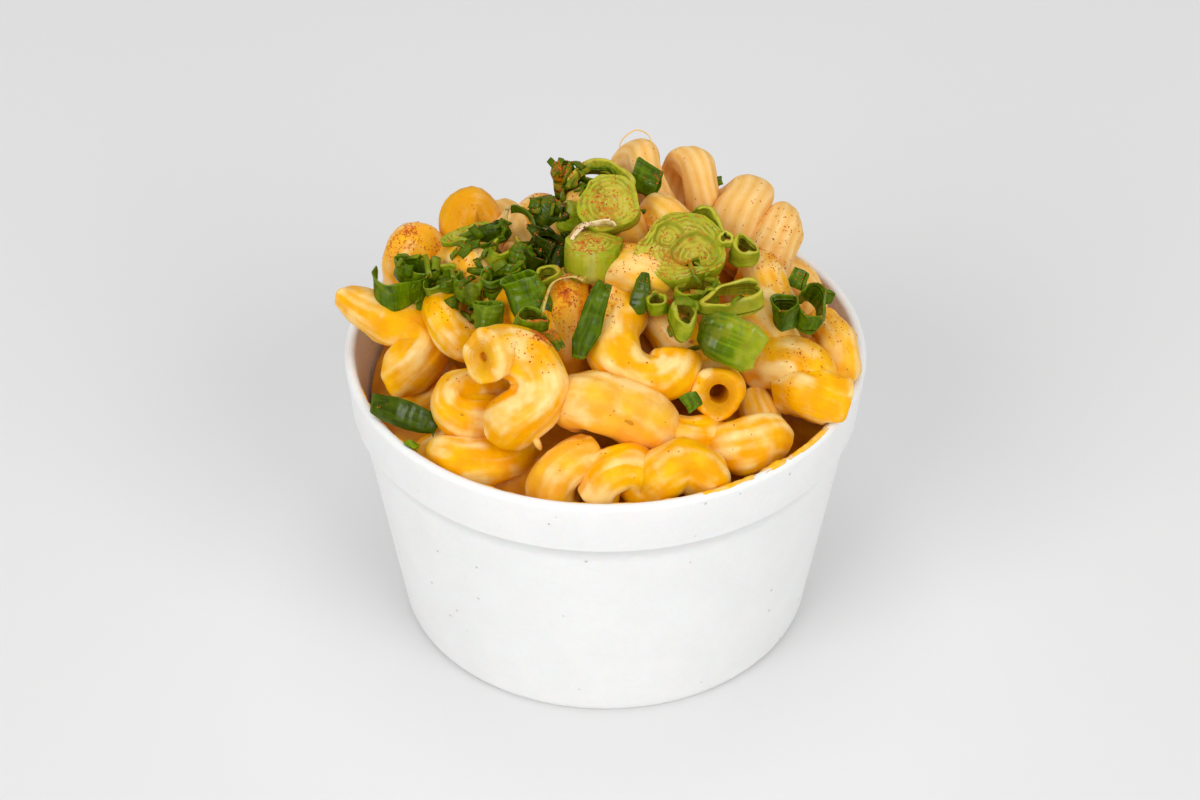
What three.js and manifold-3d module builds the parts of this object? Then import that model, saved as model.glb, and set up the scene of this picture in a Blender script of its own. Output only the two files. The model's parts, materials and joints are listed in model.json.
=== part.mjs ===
// Mac and cheese heaped in a white foam cup, with sliced scallions on top.
// Millimetres. The cup stands on z = 0 round the Z axis, and -Y is the front.

import * as THREE from 'three';
import { mergeVertices } from 'three/addons/utils/BufferGeometryUtils.js';
import Module from 'manifold-3d';

const wasm = await Module();
wasm.setup();

const GAP = 0.3; // left between pieces that touch
const MERGE_DISTANCE = 0.001; // points of a geometry closer than this are one point
const FINEST_FACET = 0.36; // smaller steps in the heap's outline are smoothed away
const ARC_HALVES = 2; // three.js gives a whole ellipse twice its curveSegments
const ARC_GAP = 5; // degrees left at each end of an open wall

// ---------- driving dimensions ----------

const CUP = {
  height: 56.2,
  rimRadius: 47.5,
  lipWidth: 2.0,
  bandBottom: 46.0, // height of the step under the thick rim band
  bandRadius: 46.6,
  bodyTopRadius: 45.4,
  stepHeight: 0.7,
  bodyFootRadius: 38.8,
  footRadius: 37.8,
  footRound: 2.3,
  wall: 2.2,
  floor: 3.2,
  sides: 32,
  lipSteps: 4,
};

// The mound of sauce and buried pasta that the noodles on show lie on.
const MOUND = {
  edgeHeight: 48,
  shoulderRadius: 31,
  shoulderHeight: 53,
  domeCentre: [2, 6, 49],
  domeRadii: [29, 27, 20],
  sides: 12,
  rings: 8,
};

// A cavatappi noodle: a tube wound as a corkscrew.
const NOODLE = {
  tube: 4.1, // radius of the tube
  coil: 4.8, // radius from the corkscrew's axis to the tube's middle
  pitch: 12.5,
  turns: 0.8,
  sides: 6,
  facetLength: 5, // along the tube
};

const SCALLION = {
  wall: { leaf: 0.5, stalk: 0.75 },
  sides: 8,
  grooveDepth: 0.5,
  grooveWidth: 0.5,
  grooveStep: 2.1, // from one layer of the bulb to the next
};

const LOOKS = {
  foam: { color: 0xf2f2f1, roughness: 0.75 },
  pasta: { color: 0xf2ad2c, roughness: 0.35 },
  bulb: { color: 0xb2c264, roughness: 0.4 },
  stalk: { color: 0x5a9a1f, roughness: 0.4 },
  leaf: { color: 0x25501c, roughness: 0.45 },
};

// The view from in front and above that the heap's places are given in. A place is how far across the
// view it is, how far down it, and its height in millimetres. A direction is how far it points right,
// up the view and towards the eye.
const VIEW = {
  eye: [-1, -414.8, 364.2],
  lookDown: 37.8, // degrees below level
  middle: [600, 400],
  zoom: 2833, // across the view for each millimetre across, at a depth of one millimetre
};

// The noodles that lie in a curve of their own. Each lies about one place, and the points along the
// middle of its tube are across, down, and how many millimetres nearer to the eye than that place.
const LAID_NOODLES = {
  farLeftHook: {
    tube: 4.4,
    about: [392, 341, 61],
    path: [
      [350, 297, -2], [361, 306, 0], [388, 318, 0], [414, 328, 0], [427, 346, 1], [412, 366, 2],
      [391, 381, 0],
    ],
  },
  leftDome: {
    tube: 4.4,
    about: [420, 270, 65],
    path: [[406, 284, -4], [403, 257, -1], [411, 240, 0], [423, 250, -1], [428, 280, -4]],
  },
  backLeftDome: {
    tube: 4,
    about: [474, 233, 69],
    path: [[462, 247, -2], [463, 223, -1], [468, 203, 0], [477, 209, -1], [480, 232, -3]],
  },
  leftCurl: {
    tube: 3.9,
    about: [470, 334, 65],
    path: [[450, 294, -5], [443, 316, -1], [455, 336, 1], [480, 342, -3]],
  },
  frontHook: {
    tube: 5.2,
    about: [513, 382, 66.5],
    path: [
      [480, 357, 6], [502, 352, 2.5], [526, 359, 2], [539, 381, 2], [532, 403, 2], [518, 416, 2],
      [511, 426, -2],
    ],
  },
  leftArm: {
    tube: 4.3,
    about: [480, 406, 59],
    path: [[502, 396, -7], [473, 391, -2], [453, 401, 1], [459, 413, 2], [482, 416, 1], [502, 412, -5]],
  },
  rimLeftLong: {
    tube: 4.6,
    about: [477, 456, 53],
    path: [[432, 454, -2], [455, 460, 1], [485, 461, 1], [508, 458, -1], [522, 450, -6]],
  },
  middleDome: {
    tube: 4.4,
    about: [569, 331, 68],
    path: [[566, 283, -5], [564, 308, 0], [565, 340, -1], [572, 368, -5]],
  },
  bigHook: {
    tube: 4.9,
    about: [645, 354, 67],
    path: [[628, 300, -4], [613, 330, 0], [618, 362, 2], [645, 379, 2], [671, 372, 2], [675, 352, 1]],
  },
  openEnd: {
    tube: 4.8,
    about: [732, 396, 62],
    path: [[718, 394, 3], [714, 390, -3], [704, 384, -9], [690, 376, -14]],
  },
  frontMiddle: {
    tube: 5.7,
    about: [606, 416, 61],
    path: [[566, 404, -2], [588, 400, 1], [614, 406, 2], [638, 418, 1], [654, 432, -2]],
  },
  frontLeftKnob: {
    tube: 4.7,
    about: [565, 466, 56],
    path: [[552, 508, -3], [553, 482, 0], [566, 463, 1], [592, 457, -2]],
  },
  frontRightKnobs: {
    tube: 4.6,
    about: [652, 470, 56],
    path: [
      [596, 494, -1], [609, 474, 2], [630, 469, 1], [646, 484, -1], [662, 472, 2], [684, 464, 1],
      [702, 472, 0], [710, 486, -3],
    ],
  },
  frontRightFill: {
    tube: 4,
    about: [698, 451, 56],
    path: [[636, 446, -5], [666, 436, -1], [696, 440, -1], [714, 436, -5]],
  },
  rightFrontLobe: {
    tube: 5,
    about: [744, 452, 55],
    path: [[780, 444, -4], [762, 440, 0], [742, 446, 1], [722, 448, -2]],
  },
  rightDome: {
    tube: 4.8,
    about: [783, 375, 60],
    path: [[754, 366, -4], [774, 358, 0], [797, 362, 1], [812, 384, 0], [814, 400, -4]],
  },
  rimRight: {
    tube: 4.4,
    about: [821, 395, 59],
    path: [[784, 388, -4], [808, 392, 1], [828, 400, 1], [843, 404, 0]],
  },
  farRight: {
    tube: 3.6,
    about: [818, 369, 58],
    path: [[820, 318, -4], [835, 342, 0], [838, 366, 0], [834, 388, -3]],
  },
};

// The noodles that keep their corkscrew. "at" is the middle of the corkscrew's axis, "axis" is the way
// that it points and "side" is the side of it that the middle of the tube lies on.
const CORKSCREWS = {
  paleBehind: { at: [522, 250, 68], axis: [1, 0, 0], side: [0, 1, 0], coil: 4.6 },
  dustedDome: { at: [543, 243, 70], axis: [1, 0, 0], side: [0, 1, 0] },
  rimLeftStub: { at: [450, 449, 50], axis: [0.2, 1, 0], side: [0, 0.3, 1], coil: 2.5, turns: 0.6 },
  bigHookBehind: { at: [662, 345, 62], axis: [1, 0.2, 0], side: [0, 1, 0.2] },
  rimBackRight: { at: [780, 300, 60], axis: [0, 0.3, 1], side: [0.8, 0.6, 0] },
  rightBrightDome: { at: [762, 300, 66], axis: [1, 0, 0.3], side: [0.3, 1, 0] },
  underLeaf: { at: [752, 325, 64], axis: [1, 0.2, 0], side: [0, 1, 0.4] },
  underBulb: { at: [668, 243, 76], axis: [1, 0.2, 0], side: [0, 1, 0.2] },
  dustedMiddle: { at: [632, 283, 73.5], axis: [0.6, 0.7, 0], side: [-0.3, 1, 0.3] },
  underTop: { at: [600, 230, 77], axis: [1, 0.2, -0.3], side: [-0.1, 1, 0.3] },
  underDark: { at: [545, 304, 63.5], axis: [0.9, -0.3, 0.4], side: [0.3, 1, 0.2] },
  leftCream: { at: [468, 285, 67], axis: [1, 0.1, 0], side: [0, 1, 0.2] },
  backTwinHumps: {
    at: [663, 185, 76], axis: [1, -0.05, 0], side: [0, -1, 0], tube: 3.7, pitch: 9.6, turns: 1.9,
  },
  backRightHumps: {
    at: [750, 228, 72], axis: [0.7, -0.65, 0.2], side: [-0.65, -0.7, 0], tube: 4.5, coil: 4.2, pitch: 8.2,
    turns: 1.9,
  },
};

// The noodles on the back of the heap lie in two arcs, one above the other.
const BACK_ARCS = [
  { count: 7, radius: 34, height: 58, from: 35, to: 160 },
  { count: 4, radius: 21, height: 65, from: 60, to: 150 },
];
const BACK_ROLL_STEP = 70; // each noodle is turned on from the one before
const BACK_LEAN = 25; // and leans this far from its arc, to one side and then the other

// Each scallion piece, as large as a berry. "size" is half its width, half its depth and its length
// along "axis", in millimetres, and "side" is the way that its width runs. "arc" leaves only the part
// of its wall between two angles.
const SCALLIONS = {
  bulb_slice: {
    kind: 'bulb', at: [680, 253, 80], axis: [0.12, 0.42, 0.9], side: [1, 0.05, 0], size: [7.8, 6.6, 5],
  },
  pale_slice: {
    kind: 'bulb', at: [609, 206, 85], axis: [-0.1, 0.25, 0.96], side: [1, 0.1, 0], size: [5.4, 5.1, 4.5],
  },
  bulb_chunk: {
    kind: 'bulb', at: [593, 257, 79.5], axis: [0.05, 0.8, 0.6], side: [1, 0.05, 0], size: [4.8, 4, 6.4],
  },
  stained_slice: {
    kind: 'bulb', at: [468, 235, 75], axis: [-0.25, 0.8, 0.5], side: [0.96, 0.3, 0], size: [5.2, 2.6, 1.2],
  },
  top_slice: {
    kind: 'stalk', at: [602, 181, 85], axis: [0, 0.62, 0.78], side: [1, -0.1, 0], size: [5.3, 4.2, 2.4],
    arc: [-30, 200],
  },
  dark_block: {
    kind: 'leaf', at: [645, 181, 84], axis: [0.8, -0.45, 0.3], side: [0.5, 0.8, 0], size: [2.8, 1.5, 5],
  },
  curl: {
    kind: 'stalk', at: [699, 243, 81.5], axis: [0.3, 0.3, 0.9], side: [1, 0, 0], size: [4.4, 6.2, 3.6],
    arc: [-60, 100],
  },
  small_ring: {
    kind: 'stalk', at: [743, 252, 79.5], axis: [0.05, 0.5, 0.86], side: [1, 0, 0], size: [2.3, 2.3, 4.8],
  },
  folded_leaf: {
    kind: 'stalk', at: [731, 339, 73.5], axis: [0.9, -0.38, 0.2], side: [0.45, 0.85, 0.2],
    size: [4.2, 2.4, 11.5],
  },
  twin_left: {
    kind: 'leaf', at: [786, 312, 72], axis: [-0.1, 0.8, 0.6], side: [1, 0, 0], size: [2.6, 2.4, 4.6],
  },
  twin_right: {
    kind: 'leaf', at: [809, 309, 71.5], axis: [0.1, 0.7, 0.7], side: [0.1, 1, 0], size: [5.2, 2.5, 4.4],
  },
  long_ring: {
    kind: 'stalk', at: [732, 299, 76.5], axis: [0.1, 0.6, 0.8], side: [0.93, 0.4, 0], size: [6.6, 2.5, 3.4],
  },
  under_ring: {
    kind: 'stalk', at: [698, 292, 76], axis: [0.05, 0.7, 0.7], side: [0.97, 0.2, 0], size: [4.2, 2.4, 3.4],
  },
  low_ring: {
    kind: 'stalk', at: [682, 318, 75], axis: [0.1, 0.6, 0.8], side: [1, 0.2, 0], size: [2.1, 3.2, 4],
  },
  left_ring: {
    kind: 'leaf', at: [401, 283, 70.5], axis: [0, 0.72, 0.68], side: [1, 0.05, 0], size: [5, 4.3, 6.4],
    arc: [-195, 95],
  },
  left_link: {
    kind: 'leaf', at: [443, 285, 71.5], axis: [-0.15, 0.72, 0.68], side: [0.9, 0.45, 0],
    size: [3.1, 2.1, 3.4], arc: [150, 440],
  },
  link_behind: {
    kind: 'stalk', at: [447, 264, 72.5], axis: [0, 0.6, 0.78], side: [1, -0.1, 0], size: [3.3, 1.8, 2.4],
    arc: [165, 380],
  },
  leaf_strip: {
    kind: 'leaf', at: [490, 236, 76.5], axis: [0.88, 0.42, 0.2], side: [-0.2, 0.9, 0.4],
    size: [2.2, 0.8, 8.4],
  },
  top_curl: {
    kind: 'stalk', at: [503, 251, 76.5], axis: [0.2, 0.6, 0.77], side: [1, 0.3, 0], size: [3.2, 2.4, 4],
    arc: [100, 400],
  },
  back_curl: {
    kind: 'leaf', at: [508, 240, 77], axis: [0.1, 0.35, 0.93], side: [1, 0, 0], size: [5.2, 6.6, 3.4],
    arc: [-35, 85],
  },
  stained_ring: {
    kind: 'leaf', at: [499, 281, 74], axis: [0, 0.7, 0.7], side: [1, 0.05, 0], size: [3.1, 2.3, 4.4],
  },
  wide_ring: {
    kind: 'leaf', at: [470, 288, 71.5], axis: [0.05, 0.75, 0.65], side: [1, 0, 0], size: [2.7, 2.2, 4.8],
    arc: [120, 425],
  },
  left_stub: {
    kind: 'leaf', at: [488, 316, 72], axis: [0.08, 0.88, 0.45], side: [1, 0, 0], size: [2.2, 1.8, 5.2],
  },
  curved_tube: {
    kind: 'leaf', at: [527, 297, 75], axis: [-0.4, 0.8, 0.45], side: [0.9, 0.4, 0], size: [3.1, 2.2, 8],
  },
  upright_leaf: {
    kind: 'leaf', at: [591, 319, 76], axis: [0.32, 0.93, 0.15], side: [0.95, -0.25, 0], size: [1.9, 0.9, 14],
  },
  dark_fold: {
    kind: 'leaf', at: [565, 182, 83], axis: [-0.15, 0.9, 0.4], side: [1, 0.1, 0], size: [2.4, 1.8, 6.6],
  },
  dark_patch: {
    kind: 'leaf', at: [548, 247, 77], axis: [0.3, 0.7, 0.6], side: [1, 0, 0], size: [2.6, 2, 4.6],
  },
  corner_ring: {
    kind: 'leaf', at: [532, 322, 74.5], axis: [0.2, 0.65, 0.74], side: [1, 0, 0], size: [2.9, 1.9, 3.8],
  },
  rim_strip: {
    kind: 'leaf', at: [404, 413, 58], axis: [0.93, -0.35, 0.15], side: [0.3, 0.9, 0.3],
    size: [2.2, 0.8, 12.6],
  },
  small_dark: {
    kind: 'leaf', at: [641, 292, 77], axis: [0.1, 0.98, 0.25], side: [1, 0, 0], size: [1.4, 1, 7.8],
  },
};

// ---------- places and directions ----------

const radians = THREE.MathUtils.degToRad;

const LOOK_DOWN = radians(VIEW.lookDown);
const EYE = new THREE.Vector3(...VIEW.eye);
const RIGHT = new THREE.Vector3(1, 0, 0);
const NEAR = new THREE.Vector3(0, -Math.cos(LOOK_DOWN), Math.sin(LOOK_DOWN));
const UP = NEAR.clone().cross(RIGHT);

// From the eye through a place in the view, one millimetre deep.
function sight(across, down) {
  return NEAR.clone().negate()
    .addScaledVector(RIGHT, (across - VIEW.middle[0]) / VIEW.zoom)
    .addScaledVector(UP, (VIEW.middle[1] - down) / VIEW.zoom);
}

function seen([across, down, height]) {
  const line = sight(across, down);
  return line.multiplyScalar((height - EYE.z) / line.z).add(EYE);
}

function inView([right, up, near]) {
  return new THREE.Vector3()
    .addScaledVector(RIGHT, right)
    .addScaledVector(UP, up)
    .addScaledVector(NEAR, near);
}

// The local Z axis is aimed along one direction, and the local X axis as near as it can to another.
function frameAt(origin, axis, side) {
  const z = axis.clone().normalize();
  const x = side.clone().addScaledVector(z, -side.dot(z)).normalize();
  return new THREE.Matrix4().makeBasis(x, z.clone().cross(x), z).setPosition(origin);
}

function placement({ at, axis, side }) {
  return frameAt(seen(at), inView(axis), inView(side));
}

// ---------- solids ----------

// A closed three.js geometry as a solid that can be cut and joined.
function solidOf(geometry) {
  const shape = geometry.clone();
  shape.deleteAttribute('normal');
  shape.deleteAttribute('uv');
  const merged = mergeVertices(shape, MERGE_DISTANCE);
  return new wasm.Manifold(new wasm.Mesh({
    numProp: 3,
    vertProperties: merged.attributes.position.array,
    triVerts: new Uint32Array(merged.index.array),
  }));
}

// A cut can leave crumbs: only the largest piece is kept.
function largestPiece(solid) {
  return solid.decompose().reduce((best, piece) => (piece.volume() > best.volume() ? piece : best));
}

function meshOf(name, solid, look) {
  const { vertProperties, triVerts } = solid.getMesh();
  const geometry = new THREE.BufferGeometry();
  geometry.setAttribute('position', new THREE.BufferAttribute(new Float32Array(vertProperties), 3));
  geometry.setIndex(new THREE.BufferAttribute(new Uint32Array(triVerts), 1));
  geometry.computeVertexNormals();
  const mesh = new THREE.Mesh(geometry, new THREE.MeshStandardMaterial({ ...look, metalness: 0 }));
  mesh.name = name;
  return mesh;
}

// An outline of radius and height, turned round the upright axis.
function turned(outline, sides) {
  return new THREE.LatheGeometry(outline, sides).rotateX(Math.PI / 2);
}

function ovalOutline(halfWidth, halfDepth) {
  return new THREE.Shape().absellipse(0, 0, halfWidth, halfDepth, 0, 2 * Math.PI);
}

// ---------- the cup ----------

// The outline of the cup's outside, grown by a margin, from the middle of its foot up to the lip.
function outsideOutline(margin) {
  const c = CUP;
  const lipRound = c.lipWidth / 2;
  const lipMiddle = new THREE.Vector2(c.rimRadius - lipRound, c.height - lipRound);
  const outline = [
    new THREE.Vector2(0, -margin),
    new THREE.Vector2(c.footRadius + margin, -margin),
    new THREE.Vector2(c.bodyFootRadius + margin, c.footRound),
    new THREE.Vector2(c.bodyTopRadius + margin, c.bandBottom - c.stepHeight - margin),
    new THREE.Vector2(c.bandRadius + margin, c.bandBottom - margin),
  ];
  for (let i = 0; i <= c.lipSteps; i += 1) {
    const angle = (i / c.lipSteps) * Math.PI;
    const reach = lipRound + margin;
    outline.push(new THREE.Vector2(
      lipMiddle.x + Math.cos(angle) * reach,
      lipMiddle.y + Math.sin(angle) * reach,
    ));
  }
  return outline;
}

// The radius of the cup's inner wall at a height.
function innerRadius(height) {
  const c = CUP;
  const top = c.rimRadius - c.lipWidth;
  const bottom = c.bodyFootRadius - c.wall;
  return bottom + (top - bottom) * ((height - c.floor) / (c.height - c.floor));
}

function cupSolid(margin) {
  const outline = outsideOutline(margin);
  outline.push(
    new THREE.Vector2(innerRadius(CUP.floor) - margin, CUP.floor + margin),
    new THREE.Vector2(0, CUP.floor + margin),
  );
  return solidOf(turned(outline, CUP.sides));
}

// ---------- the pasta ----------

class Corkscrew extends THREE.Curve {
  constructor(coil, pitch, turns) {
    super();
    this.coil = coil;
    this.pitch = pitch;
    this.turns = turns;
  }

  getPoint(t, target = new THREE.Vector3()) {
    const turn = (t - 0.5) * this.turns;
    const angle = turn * 2 * Math.PI;
    return target.set(this.coil * Math.cos(angle), this.coil * Math.sin(angle), turn * this.pitch);
  }
}

function tubeGeometry(radius, curve) {
  return new THREE.ExtrudeGeometry(ovalOutline(radius, radius), {
    curveSegments: NOODLE.sides / ARC_HALVES,
    steps: Math.round(curve.getLength() / NOODLE.facetLength),
    extrudePath: curve,
    bevelEnabled: false,
  });
}

function corkscrewSolid(frame, noodle) {
  const n = { ...NOODLE, ...noodle };
  const geometry = tubeGeometry(n.tube, new Corkscrew(n.coil, n.pitch, n.turns));
  return solidOf(geometry.applyMatrix4(frame));
}

function laidSolid({ tube, about, path }) {
  const depth = EYE.clone().sub(seen(about)).dot(NEAR);
  const points = path.map(([across, down, nearer]) => (
    sight(across, down).multiplyScalar(depth - nearer).add(EYE)
  ));
  return solidOf(tubeGeometry(tube, new THREE.CatmullRomCurve3(points)));
}

function backFrames() {
  const frames = [];
  for (const arc of BACK_ARCS) {
    for (let i = 0; i < arc.count; i += 1) {
      const angle = radians(arc.from + ((arc.to - arc.from) * i) / (arc.count - 1));
      const heading = angle + Math.PI / 2 + radians(i % 2 ? BACK_LEAN : -BACK_LEAN);
      const axis = new THREE.Vector3(Math.cos(heading), Math.sin(heading), 0);
      const side = new THREE.Vector3(0, 0, 1).applyAxisAngle(axis, radians(i * BACK_ROLL_STEP));
      const origin = new THREE.Vector3(Math.cos(angle), Math.sin(angle), 0).multiplyScalar(arc.radius);
      frames.push(frameAt(origin.setZ(arc.height), axis, side));
    }
  }
  return frames;
}

function moundSolid() {
  const m = MOUND;
  const base = CUP.floor + GAP;
  const bed = solidOf(turned([
    new THREE.Vector2(0, base),
    new THREE.Vector2(innerRadius(base) - GAP, base),
    new THREE.Vector2(innerRadius(m.edgeHeight) - GAP, m.edgeHeight),
    new THREE.Vector2(m.shoulderRadius, m.shoulderHeight),
    new THREE.Vector2(0, m.shoulderHeight),
  ], CUP.sides));
  const dome = new THREE.SphereGeometry(1, m.sides, m.rings)
    .scale(...m.domeRadii)
    .rotateX(Math.PI / 2)
    .translate(...m.domeCentre);
  return bed.add(solidOf(dome));
}

// The heap out to its uneven outline: the mound and every noodle, clear of the cup and the scallions.
function pastaSolid(seats) {
  const noodles = [
    ...Object.values(LAID_NOODLES).map(laidSolid),
    ...Object.values(CORKSCREWS).map((noodle) => corkscrewSolid(placement(noodle), noodle)),
    ...backFrames().map((frame) => corkscrewSolid(frame, {})),
  ];
  const heap = noodles.reduce((sum, noodle) => sum.add(noodle), moundSolid());
  return largestPiece(heap.subtract(cupSolid(GAP)).subtract(seats).simplify(FINEST_FACET));
}

// ---------- the scallions ----------

// A cross-slice of the white bulb, whose layers show as rings with a groove between them.
function bulbGeometry([halfWidth, halfDepth, length]) {
  const s = SCALLION;
  const outline = [new THREE.Vector2(0, -length / 2), new THREE.Vector2(halfWidth, -length / 2)];
  for (let edge = halfWidth; edge > s.grooveStep; edge -= s.grooveStep) {
    const inner = edge - s.grooveStep + s.grooveWidth;
    outline.push(
      new THREE.Vector2(edge, length / 2),
      new THREE.Vector2(inner, length / 2),
      new THREE.Vector2(inner - s.grooveWidth / 2, length / 2 - s.grooveDepth),
    );
  }
  outline.push(new THREE.Vector2(0, length / 2));
  return turned(outline, s.sides).scale(1, halfDepth / halfWidth, 1);
}

function cutLength(outline, length) {
  return new THREE.ExtrudeGeometry(outline, {
    depth: length,
    curveSegments: SCALLION.sides / ARC_HALVES,
    bevelEnabled: false,
  }).translate(0, 0, -length / 2);
}

// Part of an oval wall between two angles, its ends cut straight across.
function arcOutline(halfWidth, halfDepth, wall, [from, to]) {
  const outline = new THREE.Shape();
  outline.absellipse(0, 0, halfWidth, halfDepth, radians(from), radians(to), false);
  outline.absellipse(0, 0, halfWidth - wall, halfDepth - wall, radians(to), radians(from), true);
  return outline;
}

// A piece cut from a hollow leaf or stalk: a ring, a tube, or a strip when it is thin.
function wallGeometry({ kind, size: [halfWidth, halfDepth, length], arc }) {
  const wall = SCALLION.wall[kind];
  if (arc) return cutLength(arcOutline(halfWidth, halfDepth, wall, arc), length);
  const outline = ovalOutline(halfWidth, halfDepth);
  if (halfDepth > 2 * wall) {
    outline.holes.push(ovalOutline(halfWidth - wall, halfDepth - wall));
  }
  return cutLength(outline, length);
}

// The outline of the room that a piece takes up, with the gap round it and no hole.
function seatOutline({ kind, size: [halfWidth, halfDepth], arc }) {
  if (arc) {
    const wall = SCALLION.wall[kind] + 2 * GAP;
    return arcOutline(halfWidth + GAP, halfDepth + GAP, wall, [arc[0] - ARC_GAP, arc[1] + ARC_GAP]);
  }
  const flats = 1 / Math.cos(Math.PI / SCALLION.sides); // its flat sides must clear the piece too
  return ovalOutline((halfWidth + GAP) * flats, (halfDepth + GAP) * flats);
}

function seatSolid(piece) {
  const geometry = cutLength(seatOutline(piece), piece.size[2] + 2 * GAP);
  return solidOf(geometry.applyMatrix4(placement(piece)));
}

function scallionSolid(piece) {
  const geometry = piece.kind === 'bulb' ? bulbGeometry(piece.size) : wallGeometry(piece);
  return solidOf(geometry.applyMatrix4(placement(piece)));
}

// ---------- the object ----------

const part = new THREE.Group();
part.add(meshOf('foam_cup', cupSolid(0), LOOKS.foam));

let seats = null;
for (const [name, piece] of Object.entries(SCALLIONS)) {
  const whole = scallionSolid(piece);
  const clear = seats ? largestPiece(whole.subtract(seats)) : whole;
  part.add(meshOf(`scallion_${name}`, clear, LOOKS[piece.kind]));
  const seat = seatSolid(piece);
  seats = seats ? seats.add(seat) : seat;
}

part.add(meshOf('pasta_heap', pastaSolid(seats), LOOKS.pasta));

export default part;
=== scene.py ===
"""Mac and cheese with sliced scallions and paprika, heaped in a white foam cup.

Sizes and heights in the tables are millimetres, with the cup standing on z = 0 round the Z axis and
its front towards -Y. Blender's own values are metres.
"""

import json
import math
import random

import bmesh
import bpy
from mathutils import Matrix, Vector, noise

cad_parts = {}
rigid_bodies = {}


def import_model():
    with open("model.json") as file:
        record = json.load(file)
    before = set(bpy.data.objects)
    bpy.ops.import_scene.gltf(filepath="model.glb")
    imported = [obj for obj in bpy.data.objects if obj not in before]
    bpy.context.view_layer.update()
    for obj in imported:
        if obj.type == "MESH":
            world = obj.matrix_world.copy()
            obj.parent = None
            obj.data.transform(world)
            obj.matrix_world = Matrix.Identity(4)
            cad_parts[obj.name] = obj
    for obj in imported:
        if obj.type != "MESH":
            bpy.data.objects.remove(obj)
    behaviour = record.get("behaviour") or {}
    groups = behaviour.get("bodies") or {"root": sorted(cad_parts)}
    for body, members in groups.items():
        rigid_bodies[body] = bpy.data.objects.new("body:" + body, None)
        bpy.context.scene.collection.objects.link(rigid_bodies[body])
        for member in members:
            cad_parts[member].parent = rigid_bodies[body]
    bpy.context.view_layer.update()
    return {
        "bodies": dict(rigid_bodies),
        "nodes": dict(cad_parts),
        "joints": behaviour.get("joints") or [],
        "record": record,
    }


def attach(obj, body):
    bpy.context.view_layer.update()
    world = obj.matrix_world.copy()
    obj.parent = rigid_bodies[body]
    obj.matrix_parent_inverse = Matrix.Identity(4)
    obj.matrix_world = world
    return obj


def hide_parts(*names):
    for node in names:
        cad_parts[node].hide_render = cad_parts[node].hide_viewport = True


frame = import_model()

bl_info = {
    "name": "Mac and Cheese Cup",
    "version": (1, 0, 0),
    "blender": (4, 5, 0),
    "location": "View3D > Sidebar > Mac and Cheese",
    "description": "Builds a foam cup heaped with corkscrew pasta, cheese sauce and scallions",
    "category": "Object",
}

MM = 0.001
NOISE_SEED = 1  # without one, Blender shifts noise_vector by the clock
FULL_TURN = 2 * math.pi
DOWN = Vector((0, 0, -1))

# The cup
FOOT_EDGE = 0.6 * MM  # from the foot's radius in to the edge of its flat face
BAND_FLARE = 0.45  # share of its flare that the band has made at the height below
BAND_BEND = 5 * MM  # above the band's lower edge
FLOOR_CORNER = ((1.2 * MM, 0.4 * MM), (3 * MM, 0))  # in from the wall and up from the floor
CUP_STEPS = 160  # round the cup
WALL_GAP = 0.25 * MM  # kept between the food and the wall
OVER_LIP = 0.2 * MM  # above the lip, from where the food may reach past it

# The noodles
SPACING = 1.3 * MM  # between the sections of a noodle
END_STOPS = (0, 0.35 * MM, 1 * MM)  # where the sections next to its ends are
LIP = (0.76, 0.93, 0.99)  # how the end of a noodle rounds in, as shares of its radius
TAPER = 0.45  # share of its sections over which each end tapers
CORKSCREW_STEPS = 30  # to a turn
CURVE_STEPS = 8  # between two of the places that a curve goes through
GRAIN_RUN = 20 * MM  # along a tube, for one unit of the grain that its streaks follow
THICK_PATCH = 6 * MM  # width of the patches where the sauce lies thick
# The film patches are painted paler: partly thick sauce, partly painted highlight.
FILM_PATCH = 3.4 * MM  # width of the patches of pale film
LUMP = 2.2 * MM  # width of the small lumps
WORN_PATCH = 4.5 * MM  # width of the patches where the ridges are shallow

# The sauce between them
SAUCE_SPACING = 2.4 * MM  # between the sections of its noodles
SAUCE_INSET = 1.05 * MM  # how much thinner they are than those on show
SAUCE_FROM = 4  # millimetres from the ends of a noodle
SAUCE_SIDES = 12
BED_BOTTOM = 3.6 * MM
BED_SHOULDER = 47 * MM
BED_GAP = 0.4 * MM  # between the sauce and the wall
BED_TOP = ((31 * MM, 52 * MM), (0, 54 * MM))  # radius and height
BED_STEPS = 48  # round it
DOME_AT = Vector((2, 6, 49)) * MM  # middle of the mound under the noodles
DOME_SIZE = (29, 27, 20, 1)  # half its width, depth and height in millimetres, and the matrix's 1
VOXEL = 0.95 * MM  # size of the cubes that the sauce is joined in

# The scallions
WALL_STEPS = 5  # along a cut ring
WALL_SIDES = 36  # round a whole ring
CUT_BEVEL = 0.12 * MM
FIBRE_WIDTH = 1.4  # millimetres round a piece, for one unit of the grain that its fibres follow
FIBRE_RUN = 0.35  # units of grain from one end of a piece to the other
SLAB_STEP = 0.18 * MM  # between the circles of a bulb slice
SLAB_SIDES = 96
WELL_DEPTH = 1.1 * MM
SLICE_RUFFLE = (0.06, 0.05, 0.04)  # how far the outline of a bulb slice strays from round
SHRED_LENGTH = (1.6, 4.6)  # shortest and longest in millimetres
SHRED_WIDTH = (0.9, 2.2)
SHRED_CURL = (0.5, 2.6)  # in radians, from edge to edge
SHRED_SEED = 11

# The smears and the paprika
SMEAR_RADIUS = 47  # millimetres from the middle of the cup
SMEAR_SPACING = 0.35  # millimetres
SMEAR_ROWS = 10
SMEAR_SUNK = 0.12  # share of its depth by which a smear starts under the foam
THREAD_SPACING = 0.5 * MM
DROP_HEIGHT = 0.2  # metres, well above the heap
CLUMP = 1.8 * MM  # width of the clumps that the paprika lies in
LOWEST_GRAIN = 57 * MM  # no paprika lies lower than the lip
GRAIN_SEED = 4

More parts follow.
